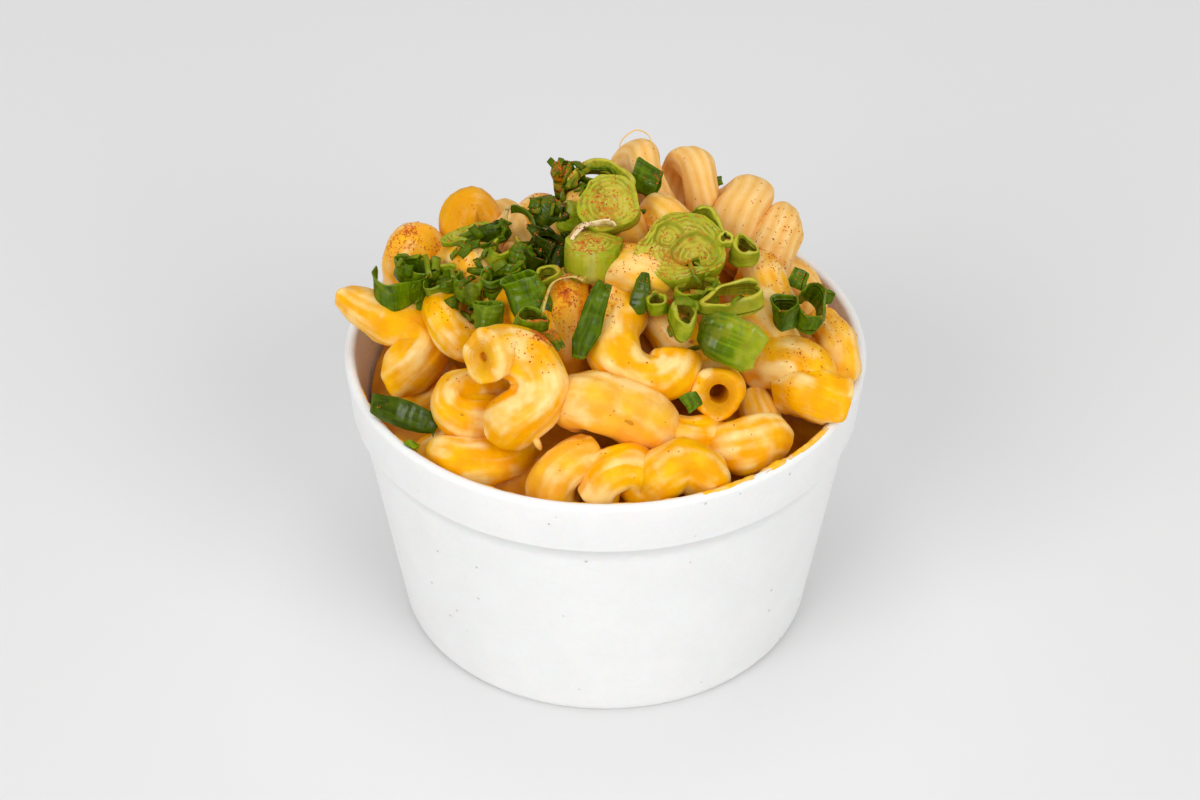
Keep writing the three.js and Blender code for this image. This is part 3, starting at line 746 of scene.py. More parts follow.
def pasta_look():
    """Pasta under cheese sauce, which is thin and amber or thick and pale, with ridges showing. Its pale
    cream patches are partly thick sauce and partly painted highlight.
    """
    pasta = bpy.context.scene.mac_noodles
    look = Look(
        "sauced_pasta",
        {
            "Subsurface Weight": 0.15,
            "Subsurface Radius": (1, 0.45, 0.03),
            "Subsurface Scale": 0.002,
            "Specular IOR Level": 0.12,
            "Coat Roughness": 0.2,
        },
    )
    dry = look.stored("dry")
    crest = look.stored("crest")
    bore = look.stored("bore")
    film = look.stored("film")
    broad = look.mottle(6, 2)
    fine = look.mottle(1.6, 3)
    streaks = look.streaks(1.6)
    # Painted highlight: pale mixes the amber towards cream in streaks and patches, partly thick sauce and
    # partly painted highlight.
    pale = 0.42 * streaks + 0.42 * broad + 0.16 * fine + 0.12 * (film - 0.3) + 0.06 * (crest - 0.5)
    amber = look.mix(look.ramp(look.mottle(4, 3), 0.35, 0.7), tint("f6a800"), linear(pasta.sauce))
    shade = look.mix(look.ramp(pale, 0.44, 0.68, 0, 0.95), amber, linear(pasta.cream_and_highlight))
    bare = look.mix(
        (0.2 + 0.6 * crest + 0.6 * (fine - 0.5)).clamped(), tint("ebb050"), linear(pasta.bare)
    )
    shade = look.mix((dry + 0.5 * (broad - 0.5) * dry).clamped(), shade, bare)
    # Painted shade: noodles with a "deep" share are darkened towards dark amber.
    shade = look.mix(look.stored("deep") * 0.8, shade, tint("d89208"))
    # Painted shade: the inside of the bore is darkened towards brown-orange.
    shade = look.mix(bore * 0.5, shade, tint("d08c10"))
    look.feed("Base Color", look.dusty(shade, 0.85, 0.36))
    look.feed("Roughness", look.ramp(fine, 0.3, 0.7, 0.32, 0.5) + 0.2 * dry)
    look.feed("Coat Weight", look.ramp(pale, 0.42, 0.66, 0, 0.6) * (1 - 0.85 * dry))
    surface = look.bump(look.streaks(2.8), 0.4, 0.5)
    surface = look.bump(look.mottle(1.8, 3), 0.25, 0.5, surface)
    look.feed("Normal", look.bump(look.mottle(0.5, 2), 0.04, 0.4, surface))
    return look.material


def pool_look():
    """The sauce that fills the hollows of the heap, its colour darkened with painted shade."""
    pasta = bpy.context.scene.mac_noodles
    look = Look(
        "pooled_sauce",
        {
            "Subsurface Weight": 0.12,
            "Subsurface Radius": (1, 0.5, 0.06),
            "Subsurface Scale": 0.002,
            "Specular IOR Level": 0.2,
            "Coat Weight": 0.3,
            "Coat Roughness": 0.15,
        },
    )
    broad = look.mottle(5, 3)
    # Painted shade: mostly the dark pooled colour, for the shade in the hollows.
    shade = look.mix(look.ramp(broad, 0.3, 0.75, 0, 0.45), linear(pasta.pooled_and_shade), linear(pasta.sauce))
    look.feed("Base Color", shade)
    look.feed("Roughness", look.ramp(look.mottle(1.4, 2), 0.3, 0.7, 0.3, 0.5))
    look.feed("Normal", look.bump(look.mottle(1.5, 3), 0.2, 0.5))
    return look.material


def scallion_look(name, skin, flesh, streak, edge):
    """A cut scallion: skin outside, flesh inside the wall, fibres along it and a paler cut edge."""
    look = Look(
        name,
        {
            "Subsurface Weight": 0.15,
            "Subsurface Radius": (0.5, 1, 0.1),
            "Subsurface Scale": 0.001,
            "Specular IOR Level": 0.1,
            "Coat Roughness": 0.08,
        },
    )
    outside = look.stored("skin")
    fibres = look.streaks(1.3)
    patches = look.mottle(2.4, 3)
    tone = look.stored("pale")
    green = look.mix(look.ramp(fibres, 0.36, 0.64, 0, 0.75), linear(skin), linear(streak))
    green = look.mix(look.ramp(patches, 0.45, 0.66, 0, 0.6), green, linear(flesh))
    green = look.mix(look.ramp(look.streaks(3.2), 0.58, 0.7, 0, 0.25), green, tint("98a808"))
    inner = look.mix(look.ramp(fibres, 0.36, 0.6, 0, 0.7), linear(flesh), linear(streak))
    green = look.mix(outside, inner, green)
    lime = look.mix(fibres, tint("8c9a06"), tint("cfc23c"))
    # Painted light: a tone above 0 lightens the green towards lime, partly the paler stalk and partly painted
    # light.
    lit = tone.clamped() * look.ramp(patches, 0.3, 0.6, 0.6, 1) * (0.35 + 0.65 * outside)
    shade = look.mix(lit, green, lime)
    shade = look.mix((tone - 1).clamped(), shade, tint("d4c98a"))
    cells = look.ramp(look.mottle(0.5, 2), 0.35, 0.65)
    face = look.mix(cells * 0.4, linear(edge), linear(flesh))
    face = look.mix(tone.clamped() * 0.8, face, tint("d2bf46"))
    face = look.mix(look.stored("heart") * 0.7, face, tint("ccb844"))
    face = look.mix(look.ramp(patches, 0.5, 0.7, 0, 0.4), face, linear(streak))
    shade = look.mix(look.stored("cut"), shade, face)
    shade = look.mix(look.stored("ringed").clamped() * 0.5, shade, linear(streak))
    # Painted shade: a tone below 0 darkens the piece towards near black, partly the dark leaf and partly
    # painted shade.
    shade = look.mix((-1 * tone).clamped() * 0.8, shade, tint("242800"))
    look.feed("Base Color", look.dusty(shade, 0.7, 0.3))
    look.feed("Roughness", look.ramp(patches, 0.3, 0.7, 0.2, 0.42))
    look.feed("Coat Weight", look.ramp(look.mottle(2.6, 2), 0.52, 0.62, 0, 0.4))
    surface = look.bump(fibres, 0.14, 0.6)
    look.feed("Normal", look.bump(look.mottle(0.6, 2), 0.05, 0.6, surface))
    return look.material


def paprika_look():
    """Dull orange and brown grains."""
    look = Look("paprika", {"Roughness": 0.75})
    paprika = bpy.context.scene.mac_dust.paprika
    tone = look.mottle(0.9, 1)
    warm = look.mix(look.ramp(tone, 0.35, 0.65), linear(paprika), tint("e07410"))
    burnt = look.ramp(look.mottle(1.5, 1), 0.5, 0.8)
    look.feed("Base Color", look.mix(burnt, warm, tint("8c3004")))
    look.feed("Normal", look.bump(look.mottle(0.15, 1), 0.05))
    return look.material


def smear_look():
    """Sauce wiped thin over the foam rim."""
    pasta = bpy.context.scene.mac_noodles
    look = Look(
        "smeared_sauce",
        {"Subsurface Weight": 0.2, "Subsurface Scale": 0.001, "Coat Weight": 0.3},
    )
    thin = look.ramp(look.mottle(3, 3), 0.35, 0.7)
    look.feed("Base Color", look.mix(thin, linear(pasta.sauce), tint("f6cf8c")))
    look.feed("Roughness", look.ramp(look.mottle(0.8, 2), 0.3, 0.7, 0.3, 0.5))
    look.feed("Normal", look.bump(look.mottle(1, 2), 0.08))
    return look.material


# ---------- mesh helpers ----------


def frame_at(origin, axis, side):
    """Local Z is aimed along one direction, and local X as near as it can to another."""
    z = axis.normalized()
    x = (side - z * side.dot(z)).normalized()
    made = Matrix((x, z.cross(x), z)).transposed().to_4x4()
    made.translation = origin
    return made


def placement(piece):
    return frame_at(seen(piece["at"]), in_view(piece["axis"]), in_view(piece["side"]))


def only(geometry, kind):
    """The verts, edges or faces out of what an operator made."""
    return [item for item in geometry if isinstance(item, kind)]


def ring(bm, radius, segments):
    """A circle of verts and the edges between them."""
    verts = bmesh.ops.create_circle(bm, radius=radius, segments=segments)["verts"]
    edges = list({edge for vert in verts for edge in vert.link_edges})
    return verts, edges


def wobble(bm, size, depth, seed):
    """Pushes every vertex about by smooth noise whose bumps are that many millimetres wide."""
    noise.seed_set(NOISE_SEED)
    shift = Vector((seed, 2.3 * seed, 5.1 * seed))
    for vert in bm.verts:
        vert.co += noise.noise_vector(vert.co / (size * MM) + shift) * depth * MM


def finished(bm, name, look, slot, *nodes, levels=1):
    """The bmesh as a smooth piece that rides on the part and stands for those CAD nodes."""
    dusted = bm.verts.layers.float.new("dusted")
    bmesh.ops.recalc_face_normals(bm, faces=bm.faces)
    bm.normal_update()
    for vert in bm.verts:
        vert[dusted] = dusting(vert.co) * min(1, max(0, vert.normal.z + 0.35))
    mesh = bpy.data.meshes.new(name)
    bm.to_mesh(mesh)
    bm.free()
    mesh.shade_smooth()
    mesh.materials.append(look)
    piece = bpy.data.objects.new(name, mesh)
    bpy.context.scene.collection.objects.link(piece)
    if levels:
        rounding = piece.modifiers.new("Rounding", "SUBSURF")
        rounding.levels = levels
        rounding.render_levels = levels
    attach(piece, "root")
    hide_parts(*nodes)
    return piece


PINCH_SPOTS = [
    (seen(pinch["at"]).xy, pinch["radius"] * MM, GRAIN_DENSITY * pinch["grains"] / pinch["radius"] ** 2)
    for pinch in PINCHES.values()
]


def dusting(place):
    """How thick the paprika lies at a place, from 0 to 1."""
    share = 0
    for middle, radius, density in PINCH_SPOTS:
        share = max(share, density * max(0, 1 - (place.xy - middle).length / radius))
    return min(THICKEST_DUST, share)


def dropped(rng, patch, spread):
    """Where something dropped at random on a patch lands and the surface's normal there, if it does."""
    angle = rng.uniform(0, FULL_TURN)
    out = patch["radius"] * rng.random() ** spread * MM
    middle = seen(patch["at"])
    start = Vector((middle.x + out * math.cos(angle), middle.y + out * math.sin(angle), DROP_HEIGHT))
    layers = bpy.context.evaluated_depsgraph_get()
    hit, place, normal, _, _, _ = bpy.context.scene.ray_cast(layers, start, DOWN)
    return (place, normal) if hit and place.z >= LOWEST_GRAIN else None


# ---------- the cup ----------


def corner(radius, height, out, rise):
    """Points round a quarter of an oval in the cup's section, from flat to upright."""
    turns = [step / 5 * math.pi / 2 for step in range(1, 6)]
    return [(radius + out * math.sin(turn), height + rise * (1 - math.cos(turn))) for turn in turns]


def cup_outline():
    """The cup's section, from the middle of its foot round the lip to the middle of its floor."""
    cup = bpy.context.scene.mac_cup
    lip = cup.lip_width / 2
    flat = cup.foot_radius - FOOT_EDGE
    points = [(0, 0), (cup.foot_radius * 0.5, 0), (flat, 0)]
    points += corner(flat, 0, cup.body_foot_radius - cup.foot_radius + FOOT_EDGE, cup.foot_round)
    under_band = cup.band_bottom - cup.step_height
    for step in range(1, 13):
        share = step / 12
        points.append(
            (
                cup.body_foot_radius + (cup.body_top_radius - cup.body_foot_radius) * share,
                cup.foot_round + (under_band - cup.foot_round) * share,
            )
        )
    points += corner(cup.body_top_radius, under_band, cup.band_radius - cup.body_top_radius, cup.step_height)
    bend = cup.band_radius + BAND_FLARE * (cup.rim_radius - cup.band_radius)
    points.append((bend, cup.band_bottom + BAND_BEND))
    middle = (cup.rim_radius - lip, cup.height - lip)
    for step in range(11):
        turn = step / 10 * math.pi
        points.append((middle[0] + lip * math.cos(turn), middle[1] + lip * math.sin(turn)))
    for step in range(1, 11):
        height = middle[1] + (cup.floor + 2 * MM - middle[1]) * step / 10
        points.append((inner_radius(height), height))
    for inward, up in FLOOR_CORNER:
        points.append((inner_radius(cup.floor) - inward, cup.floor + up))
    return [*points, (0, cup.floor)]


def inner_radius(height):
    """The radius of the cup's inner wall at a height."""
    cup = bpy.context.scene.mac_cup
    top = cup.rim_radius - cup.lip_width
    bottom = cup.body_foot_radius - cup.wall
    return bottom + (top - bottom) * (height - cup.floor) / (cup.height - cup.floor)


def turned(bm, points, steps):
    """Turns an outline of radius and height round the upright axis."""
    verts = [bm.verts.new((radius, 0, height)) for radius, height in points]
    edges = [bm.edges.new(pair) for pair in zip(verts, verts[1:])]
    bmesh.ops.spin(bm, geom=verts + edges, axis=(0, 0, 1), angle=FULL_TURN, steps=steps, use_merge=True)
    bmesh.ops.remove_doubles(bm, verts=bm.verts, dist=0.01 * MM)


class MAC_OT_foam_cup(bpy.types.Operator):
    """Builds the white foam cup"""

    bl_idname = "mac.foam_cup"
    bl_label = "Foam Cup"

    def execute(self, context):
        bm = bmesh.new()
        turned(bm, cup_outline(), CUP_STEPS)
        finished(bm, "foam_cup_body", foam_look(), "foam", "foam_cup", levels=0)
        return {"FINISHED"}


# ---------- the pasta ----------


def back_noodles():
    """The noodles on the back of the heap, by name."""
    made = {}
    for level, arc in enumerate(BACK_ARCS):
        for i in range(arc["count"]):
            angle = math.radians(arc["start"] + (arc["stop"] - arc["start"]) * i / (arc["count"] - 1))
            heading = angle + math.pi / 2 + math.radians(BACK_LEAN if i % 2 else -BACK_LEAN)
            axis = Vector((math.cos(heading), math.sin(heading), 0))
            side = Matrix.Rotation(math.radians(i * BACK_ROLL_STEP), 3, axis) @ Vector((0, 0, 1))
            origin = Vector((math.cos(angle), math.sin(angle), 0)) * arc["radius"]
            origin.z = arc["height"]
            made[f"back_{level}_{i}"] = dict(frame=frame_at(origin * MM, axis, side), dry=BACK_DRY)
    return made


def all_noodles():
    return {**NOODLES, **back_noodles()}


def usual(noodle, word):
    """A noodle's own size, or else the usual one, in metres."""
    own = noodle.get(word)
    return getattr(bpy.context.scene.mac_noodles, word) if own is None else own * MM


def corkscrew(noodle):
    """Points along the middle of a tube that is wound as a corkscrew."""
    coil = usual(noodle, "coil")
    pitch = usual(noodle, "pitch")
    turns = noodle.get("turns", bpy.context.scene.mac_noodles.turns)
    where = noodle["frame"] if "frame" in noodle else placement(noodle)
    steps = round(turns * CORKSCREW_STEPS)
    points = []
    for i in range(steps + 1):
        turn = (i / steps - 0.5) * turns
        angle = turn * FULL_TURN
        points.append(where @ Vector((coil * math.cos(angle), coil * math.sin(angle), turn * pitch)))
    return points


def laid(noodle):
    """The few points that a noodle's own curve goes through."""
    depth = (EYE - seen(noodle["about"])).dot(NEAR)
    return [EYE + sight(across, down) * (depth - nearer * MM) for across, down, nearer in noodle["path"]]


def middle_of(noodle):
    """Points along the middle of a noodle's tube."""
    return through(laid(noodle)) if "path" in noodle else corkscrew(noodle)


def through(marks):
    """Points on a smooth curve through a few places."""
    marks = [2 * marks[0] - marks[1], *marks, 2 * marks[-1] - marks[-2]]
    points = []
    for a, b, c, d in zip(marks, marks[1:], marks[2:], marks[3:]):
        for i in range(CURVE_STEPS):
            t = i / CURVE_STEPS
            points.append(
                b
                + (c - a) * (t / 2)
                + (2 * a - 5 * b + 4 * c - d) * (t * t / 2)
                + (3 * b - a - 3 * c + d) * (t**3 / 2)
            )
    return [*points, marks[-2]]


def frames_along(points, spacing, trim=0.0):
    """Upright frames along a curve, close together near its two ends, with Z along the curve."""
    reach = [0.0]
    for a, b in zip(points, points[1:]):
        reach.append(reach[-1] + (b - a).length)
    first, last = trim, reach[-1] - trim
    count = max(4, round((last - first) / spacing))
    even = [first + (last - first) * i / count for i in range(1, count)]
    stops = sorted([first + d for d in END_STOPS] + even + [last - d for d in END_STOPS])
    places = []
    for stop in stops:
        i = next((n for n, far in enumerate(reach) if far > stop), len(reach) - 1)
        share = (stop - reach[i - 1]) / (reach[i] - reach[i - 1])
        places.append(points[i - 1].lerp(points[i], share))
    frames = []
    side = None
    for i, place in enumerate(places):
        ahead = (places[min(i + 1, len(places) - 1)] - places[max(i - 1, 0)]).normalized()
        side = ahead.orthogonal().normalized() if side is None else turning.rotation_difference(ahead) @ side
        turning = ahead
        up = ahead.cross(side).normalized()
        frame = Matrix((side, up, ahead)).transposed().to_4x4()
        frame.translation = place
        frames.append(frame)
    return frames


def drawn_out(bm, verts, edges, frames, swell):
    """Draws a flat closed section out along the frames, swollen or shrunk at each, as rows of verts."""
    before = frames[0] @ Matrix.Diagonal((swell[0], swell[0], 1, 1))
    bmesh.ops.transform(bm, matrix=before, verts=verts)
    rows = [verts]
    for frame, grow in zip(frames[1:], swell[1:]):
        grown = bmesh.ops.extrude_edge_only(bm, edges=edges)["geom"]
        edges = only(grown, bmesh.types.BMEdge)
        verts = only(grown, bmesh.types.BMVert)
        after = frame @ Matrix.Diagonal((grow, grow, 1, 1))
        bmesh.ops.transform(bm, matrix=after @ before.inverted(), verts=verts)
        before = after
        rows.append(verts)
    return rows, edges


def eased(value, low, high):
    """0 at low and 1 at high, and smooth between."""
    share = min(1, max(0, (value - low) / (high - low)))
    return share * share * (3 - 2 * share)


def coated(bm, rows, frames, noodle, seed):
    """Gives the tube its ridges and an uneven coat of sauce, which fills the grooves in places."""
    crest = bm.verts.layers.float["crest"]
    film = bm.verts.layers.float["film"]
    dry = noodle.get("dry", 0.0)
    ridge = bpy.context.scene.mac_noodles.ridge * (0.55 + 0.45 * dry) * noodle.get("ridged", 1)
    shift = Vector((seed, 3.7 * seed, 1.9 * seed))
    for i, (verts, frame) in enumerate(zip(rows, frames)):
        middle = frame.translation
        flat = frame.to_3x3() @ Vector((math.cos(seed + 0.2 * i), math.sin(seed + 0.2 * i), 0))
        for vert in verts:
            out = (vert.co - middle).normalized()
            thick = noise.noise(vert.co / THICK_PATCH + shift)
            vert[film] = eased(noise.noise(vert.co / FILM_PATCH - shift), 0.02, 0.25) * (1 - dry)
            lump = 0.8 * thick + (0.34 - 0.1 * dry) * noise.noise(vert.co / LUMP - shift)
            lump += 0.3 * vert[film] - 0.45 * out.dot(flat) ** 2
            groove = ridge * (1 - vert[crest]) * (1 - eased(thick, -0.05, 0.25) * (0.9 - 0.4 * dry))
            groove *= 1 - 0.7 * vert[film]
            groove *= eased(noise.noise(vert.co / WORN_PATCH + 2 * shift), -0.35, 0.3)
            vert.co += out * (lump * MM - groove)


def tapered(count, start, end):
    """Shares of a radius that grow and shrink towards a share of their own at each end."""
    shares = []
    for i in range(count):
        near_start = max(0, 1 - i / (TAPER * count))
        near_end = max(0, 1 - (count - 1 - i) / (TAPER * count))
        shares.append(1 - (1 - start) * near_start**1.5 - (1 - end) * near_end**1.5)
    return shares


def noodle_mesh(noodle, seed):
    """A ridged tube, hollow from end to end, wound as a corkscrew or laid along its own path."""
    pasta = bpy.context.scene.mac_noodles
    tube = usual(noodle, "tube")
    bm = bmesh.new()
    for word in ("crest", "bore", "dry", "film", "deep"):
        bm.verts.layers.float.new(word)
    grain = bm.verts.layers.float_vector.new("grain")
    crest, bore, dry, deep = (bm.verts.layers.float[word] for word in ("crest", "bore", "dry", "deep"))
    segments = 4 * pasta.ridges
    frames = frames_along(middle_of(noodle), SPACING)
    outer, outer_edges = ring(bm, tube, segments)
    for i, vert in enumerate(outer):
        vert[crest] = 0.5 + 0.5 * math.cos(i * math.pi / 2)
    inner, inner_edges = ring(bm, pasta.bore * noodle.get("open", 1), segments)
    for vert in inner:
        vert[bore] = 1
    taper = tapered(len(frames), *noodle.get("ends", (1, 1)))
    lips = [*LIP, *[1] * (len(frames) - 2 * len(LIP)), *reversed(LIP)]
    swell = [lip * share for lip, share in zip(lips, taper)]
    rows, outer_last = drawn_out(bm, outer, outer_edges, frames, swell)
    _, inner_last = drawn_out(bm, inner, inner_edges, frames[1:-1], taper[1:-1])
    bmesh.ops.bridge_loops(bm, edges=outer_edges + inner_edges)
    bmesh.ops.bridge_loops(bm, edges=outer_last + inner_last)
    for i, verts in enumerate(rows):
        for n, vert in enumerate(verts):
            angle = n / segments * FULL_TURN
            vert[grain] = (math.cos(angle) + seed, math.sin(angle), i * SPACING / GRAIN_RUN)
    for vert in bm.verts:
        vert[dry] = noodle.get("dry", 0.0)
        vert[deep] = noodle.get("deep", 0.0)
    coated(bm, rows, frames, noodle, seed)
    wobble(bm, 10, 0.8, seed)
    return bm


def kept_in_cup(bm):
    """Presses whatever would go through the cup's wall back inside it."""
    cup = bpy.context.scene.mac_cup
    for vert in bm.verts:
        if vert.co.z > cup.height + OVER_LIP:
            continue
        reach = inner_radius(vert.co.z) - WALL_GAP
        out = math.hypot(vert.co.x, vert.co.y)
        if out > reach:
            vert.co.x *= reach / out
            vert.co.y *= reach / out


class MAC_OT_noodles(bpy.types.Operator):
    """Builds every corkscrew noodle of the heap"""

    bl_idname = "mac.noodles"
    bl_label = "Noodles"

    def execute(self, context):
        look = pasta_look()
        for seed, (name, noodle) in enumerate(all_noodles().items()):
            bm = noodle_mesh(noodle, seed)
            kept_in_cup(bm)
            finished(bm, f"noodle_{name}", look, "cheese_pasta", "pasta_heap")
        return {"FINISHED"}


# ---------- the sauce under and between the noodles ----------


def plain_noodle(bm, noodle):
    """A smooth solid noodle, a little thinner and shorter than the one on show."""
    frames = frames_along(middle_of(noodle), SAUCE_SPACING, noodle.get("sauce_from", SAUCE_FROM) * MM)
    verts, edges = ring(bm, usual(noodle, "tube") - SAUCE_INSET, SAUCE_SIDES)
    _, last = drawn_out(bm, verts, edges, frames, tapered(len(frames), *noodle.get("ends", (1, 1))))
    bmesh.ops.edgeloop_fill(bm, edges=edges)
    bmesh.ops.edgeloop_fill(bm, edges=last)


class MAC_OT_sauce(bpy.types.Operator):
    """Builds the sauce that the noodles lie in"""

    bl_idname = "mac.sauce"
    bl_label = "Sauce"

    def execute(self, context):
        bm = bmesh.new()
        sides = [(inner_radius(height) - BED_GAP, height) for height in (BED_BOTTOM, BED_SHOULDER)]
        turned(bm, [(0, BED_BOTTOM), *sides, *BED_TOP], BED_STEPS)
        dome = Matrix.Translation(DOME_AT) @ Matrix.Diagonal(DOME_SIZE)
        bmesh.ops.create_icosphere(bm, subdivisions=3, radius=MM, matrix=dome)
        for noodle in all_noodles().values():
            plain_noodle(bm, noodle)
        bmesh.ops.recalc_face_normals(bm, faces=bm.faces)
        rough = bpy.data.meshes.new("sauce_rough")
        bm.to_mesh(rough)
        bm.free()
        holder = bpy.data.objects.new("sauce_rough", rough)
        context.scene.collection.objects.link(holder)
        joining = holder.modifiers.new("Joining", "REMESH")
        joining.mode = "VOXEL"
        joining.voxel_size = VOXEL
        settling = holder.modifiers.new("Settling", "SMOOTH")
        settling.factor = 0.5
        settling.iterations = 10
        layers = context.evaluated_depsgraph_get()
        joined = bpy.data.meshes.new_from_object(holder.evaluated_get(layers))
        bpy.data.objects.remove(holder)
        bm = bmesh.new()
        bm.from_mesh(joined)
        kept_in_cup(bm)
        finished(bm, "sauce_bed", pool_look(), "cheese_pasta", "pasta_heap", levels=0)
        return {"FINISHED"}


# ---------- the scallions ----------


def scallion_bmesh():
    """An empty bmesh with the values that a scallion's material reads."""
    bm = bmesh.new()
    for word in ("skin", "ringed", "pale", "heart"):
        bm.verts.layers.float.new(word)
    bm.verts.layers.float_vector.new("grain")
    bm.faces.layers.float.new("cut")
    return bm


class Ruffle:
    """The uneven outline of a cut piece, as a share of its radius at each angle."""

    def __init__(self, rng, depths=(0.13, 0.1, 0.05)):
        self.waves = []
        for count, depth in zip((2, 3, 5), depths):
            self.waves.append((count, rng.uniform(0.4, 1) * depth, rng.uniform(0, FULL_TURN)))

    def at(self, angle):
        return 1 + sum(depth * math.cos(n * angle + phase) for n, depth, phase in self.waves)


def cut_wall(bm, size, wall, rng, arc=(0, 360), shut=0.0):
    """A ring or part of a ring: a thin wall round the axis, cut across or pressed shut at its ends."""
    skin = bm.verts.layers.float["skin"]
    cut = bm.faces.layers.float["cut"]
    known = set(bm.verts)
    half_width, half_depth, length = (number * MM for number in size)
    start, sweep = math.radians(arc[0]), math.radians(arc[1] - arc[0])
    whole = arc[1] - arc[0] == 360
    outside = bm.verts.new((math.cos(start), math.sin(start), -0.5))
    inside = bm.verts.new((0.5 * math.cos(start), 0.5 * math.sin(start), -0.5))
    outside[skin] = 1
    edge = bm.edges.new((outside, inside))
    bmesh.ops.spin(
        bm, geom=[outside, inside, edge], axis=(0, 0, 1), angle=sweep,
        steps=max(8, round(WALL_SIDES * sweep / FULL_TURN)), use_merge=whole,
    )
    section = [vert for vert in bm.verts if vert not in known]
    region = list({face for vert in section for face in vert.link_faces})
    for face in region:
        face[cut] = 1
    for _ in range(WALL_STEPS):
        grown = bmesh.ops.extrude_face_region(bm, geom=region)["geom"]
        region = only(grown, bmesh.types.BMFace)
        risen = only(grown, bmesh.types.BMVert)
        bmesh.ops.translate(bm, vec=(0, 0, 1 / WALL_STEPS), verts=risen)
    made = [vert for vert in bm.verts if vert not in known]
    for face in {face for vert in made for face in vert.link_faces}:
        heights = [vert.co.z for vert in face.verts]
        face[cut] = float(max(heights) - min(heights) < 0.01)
    ruffle = Ruffle(rng)
    flare, twist = rng.uniform(-0.15, 0.15), rng.uniform(-0.4, 0.4)
    slant, bend = rng.uniform(-0.35, 0.35), rng.uniform(-0.12, 0.12)
    for vert in made:
        angle = math.atan2(vert.co.y, vert.co.x)
        up = vert.co.z
        reach = ruffle.at(angle + twist * up) * (1 + flare * up)
        place = Vector((half_width * math.cos(angle), half_depth * math.sin(angle), 0)) * reach
        pressed = 1 - shut * (2 * up) ** 4
        place = Vector((place.x * (0.5 + 0.5 * pressed), place.y * pressed, 0))
        if not vert[skin]:
            inward = Vector((math.cos(angle) / half_width, math.sin(angle) / half_depth, 0))
            place -= inward.normalized() * wall * (1 + 0.25 * math.sin(3 * angle + 9 * flare))
        place.y += bend * length * (1 - 4 * up * up)
        vert.co = (place.x, place.y, up * length + slant * up * place.x)
    rims = [
        edge
        for edge in {edge for vert in made for edge in vert.link_edges}
        if len(edge.link_faces) == 2 and edge.link_faces[0][cut] != edge.link_faces[1][cut]
    ]
    stamp_grain(bm, made, size[0], length)
    bmesh.ops.bevel(
        bm, geom=rims, offset=CUT_BEVEL, segments=1, affect="EDGES", profile=0.5, material=-1
    )


def stamp_grain(bm, verts, half_width, length):
    """Stores a direction for the fibres, which run along the piece."""
    grain = bm.verts.layers.float_vector["grain"]
    for vert in verts:
        angle = math.atan2(vert.co.y, vert.co.x)
        run = half_width * angle / FIBRE_WIDTH
        vert[grain] = (run, math.hypot(vert.co.x, vert.co.y) / MM, vert.co.z / length * FIBRE_RUN)


def slab(bm, size, wells, rng):
    """A slice of bulb: a thick disc with a fine ring for each layer, and wells where shoots were."""
    skin, ringed, heart = (bm.verts.layers.float[word] for word in ("skin", "ringed", "heart"))
    cut = bm.faces.layers.float["cut"]
    layer = bpy.context.scene.mac_scallions.bulb_wall
    half_width, half_depth, length = (number * MM for number in size)
    count = round(half_width / SLAB_STEP)
    outline = [(half_width * i / count, -length / 2) for i in range(0, count + 1, 3)]
    outline += [(half_width * 1.02, -length / 5), (half_width * 1.02, length / 5)]
    outline += [(half_width * i / count, length / 2) for i in range(count, -1, -1)]
    turned(bm, outline, SLAB_SIDES)
    for face in bm.faces:
        heights = [vert.co.z for vert in face.verts]
        face[cut] = float(max(heights) - min(heights) < 0.01 * MM)
    ruffle = Ruffle(rng, SLICE_RUFFLE)
    lines = Ruffle(rng, SLICE_RUFFLE)
    for vert in bm.verts:
        angle = math.atan2(vert.co.y, vert.co.x)
        out = math.hypot(vert.co.x, vert.co.y)
        share = out / half_width
        vert[skin] = float(share > 0.97)
        vert[heart] = eased(share, 0.95, 0.35)
        if vert.co.z > 0.4 * length and share < 0.96:
            middle, sunk = Vector((0, 0)), 0.0
            for across, along, radius in wells:
                away = Vector((vert.co.x / half_width - across, vert.co.y / half_width - along))
                deep = min(1, max(0, (radius - away.length) * half_width / (0.9 * MM)))
                if deep:
                    middle, sunk = Vector((across, along)) * half_width, deep
            round_it = Vector((vert.co.x, vert.co.y)) - middle
            around = lines.at(math.atan2(round_it.y, round_it.x))
            groove = 0.5 + 0.5 * math.cos(FULL_TURN * round_it.length * around / layer)
            groove = groove**2 * (0.6 + 1.4 * noise.noise(vert.co / (2.5 * MM) + middle.to_3d() / MM))
            vert[ringed] = max(0, groove, 4 * sunk * (1 - sunk))
            vert.co.z -= max(0, groove) * 0.3 * MM + sunk * WELL_DEPTH
            vert.co.z += 0.35 * MM * noise.noise(vert.co / (3 * MM))
        vert.co.x *= ruffle.at(angle)
        vert.co.y *= ruffle.at(angle) * half_depth / half_width
    stamp_grain(bm, bm.verts, size[0], length)


def scallion_mesh(name, piece, seed):
    """One cut piece of scallion, in its own frame."""
    shades = bpy.context.scene.mac_scallions
    rng = random.Random(seed)
    bm = scallion_bmesh()
    size, kind = piece["size"], piece["kind"]
    if kind == "bulb":
        slab(bm, size, WELLS.get(name, ()), rng)
        return bm
    walls = {"stalk": shades.stalk_wall, "leaf": shades.leaf_wall, "peel": shades.peel_wall}
    wall = piece["wall"] * MM if "wall" in piece else walls[kind]
    wall = min(wall, 0.6 * size[1] * MM)
    cut_wall(bm, size, wall, rng, piece.get("arc", (0, 360)), piece.get("shut", 0))
    return bm


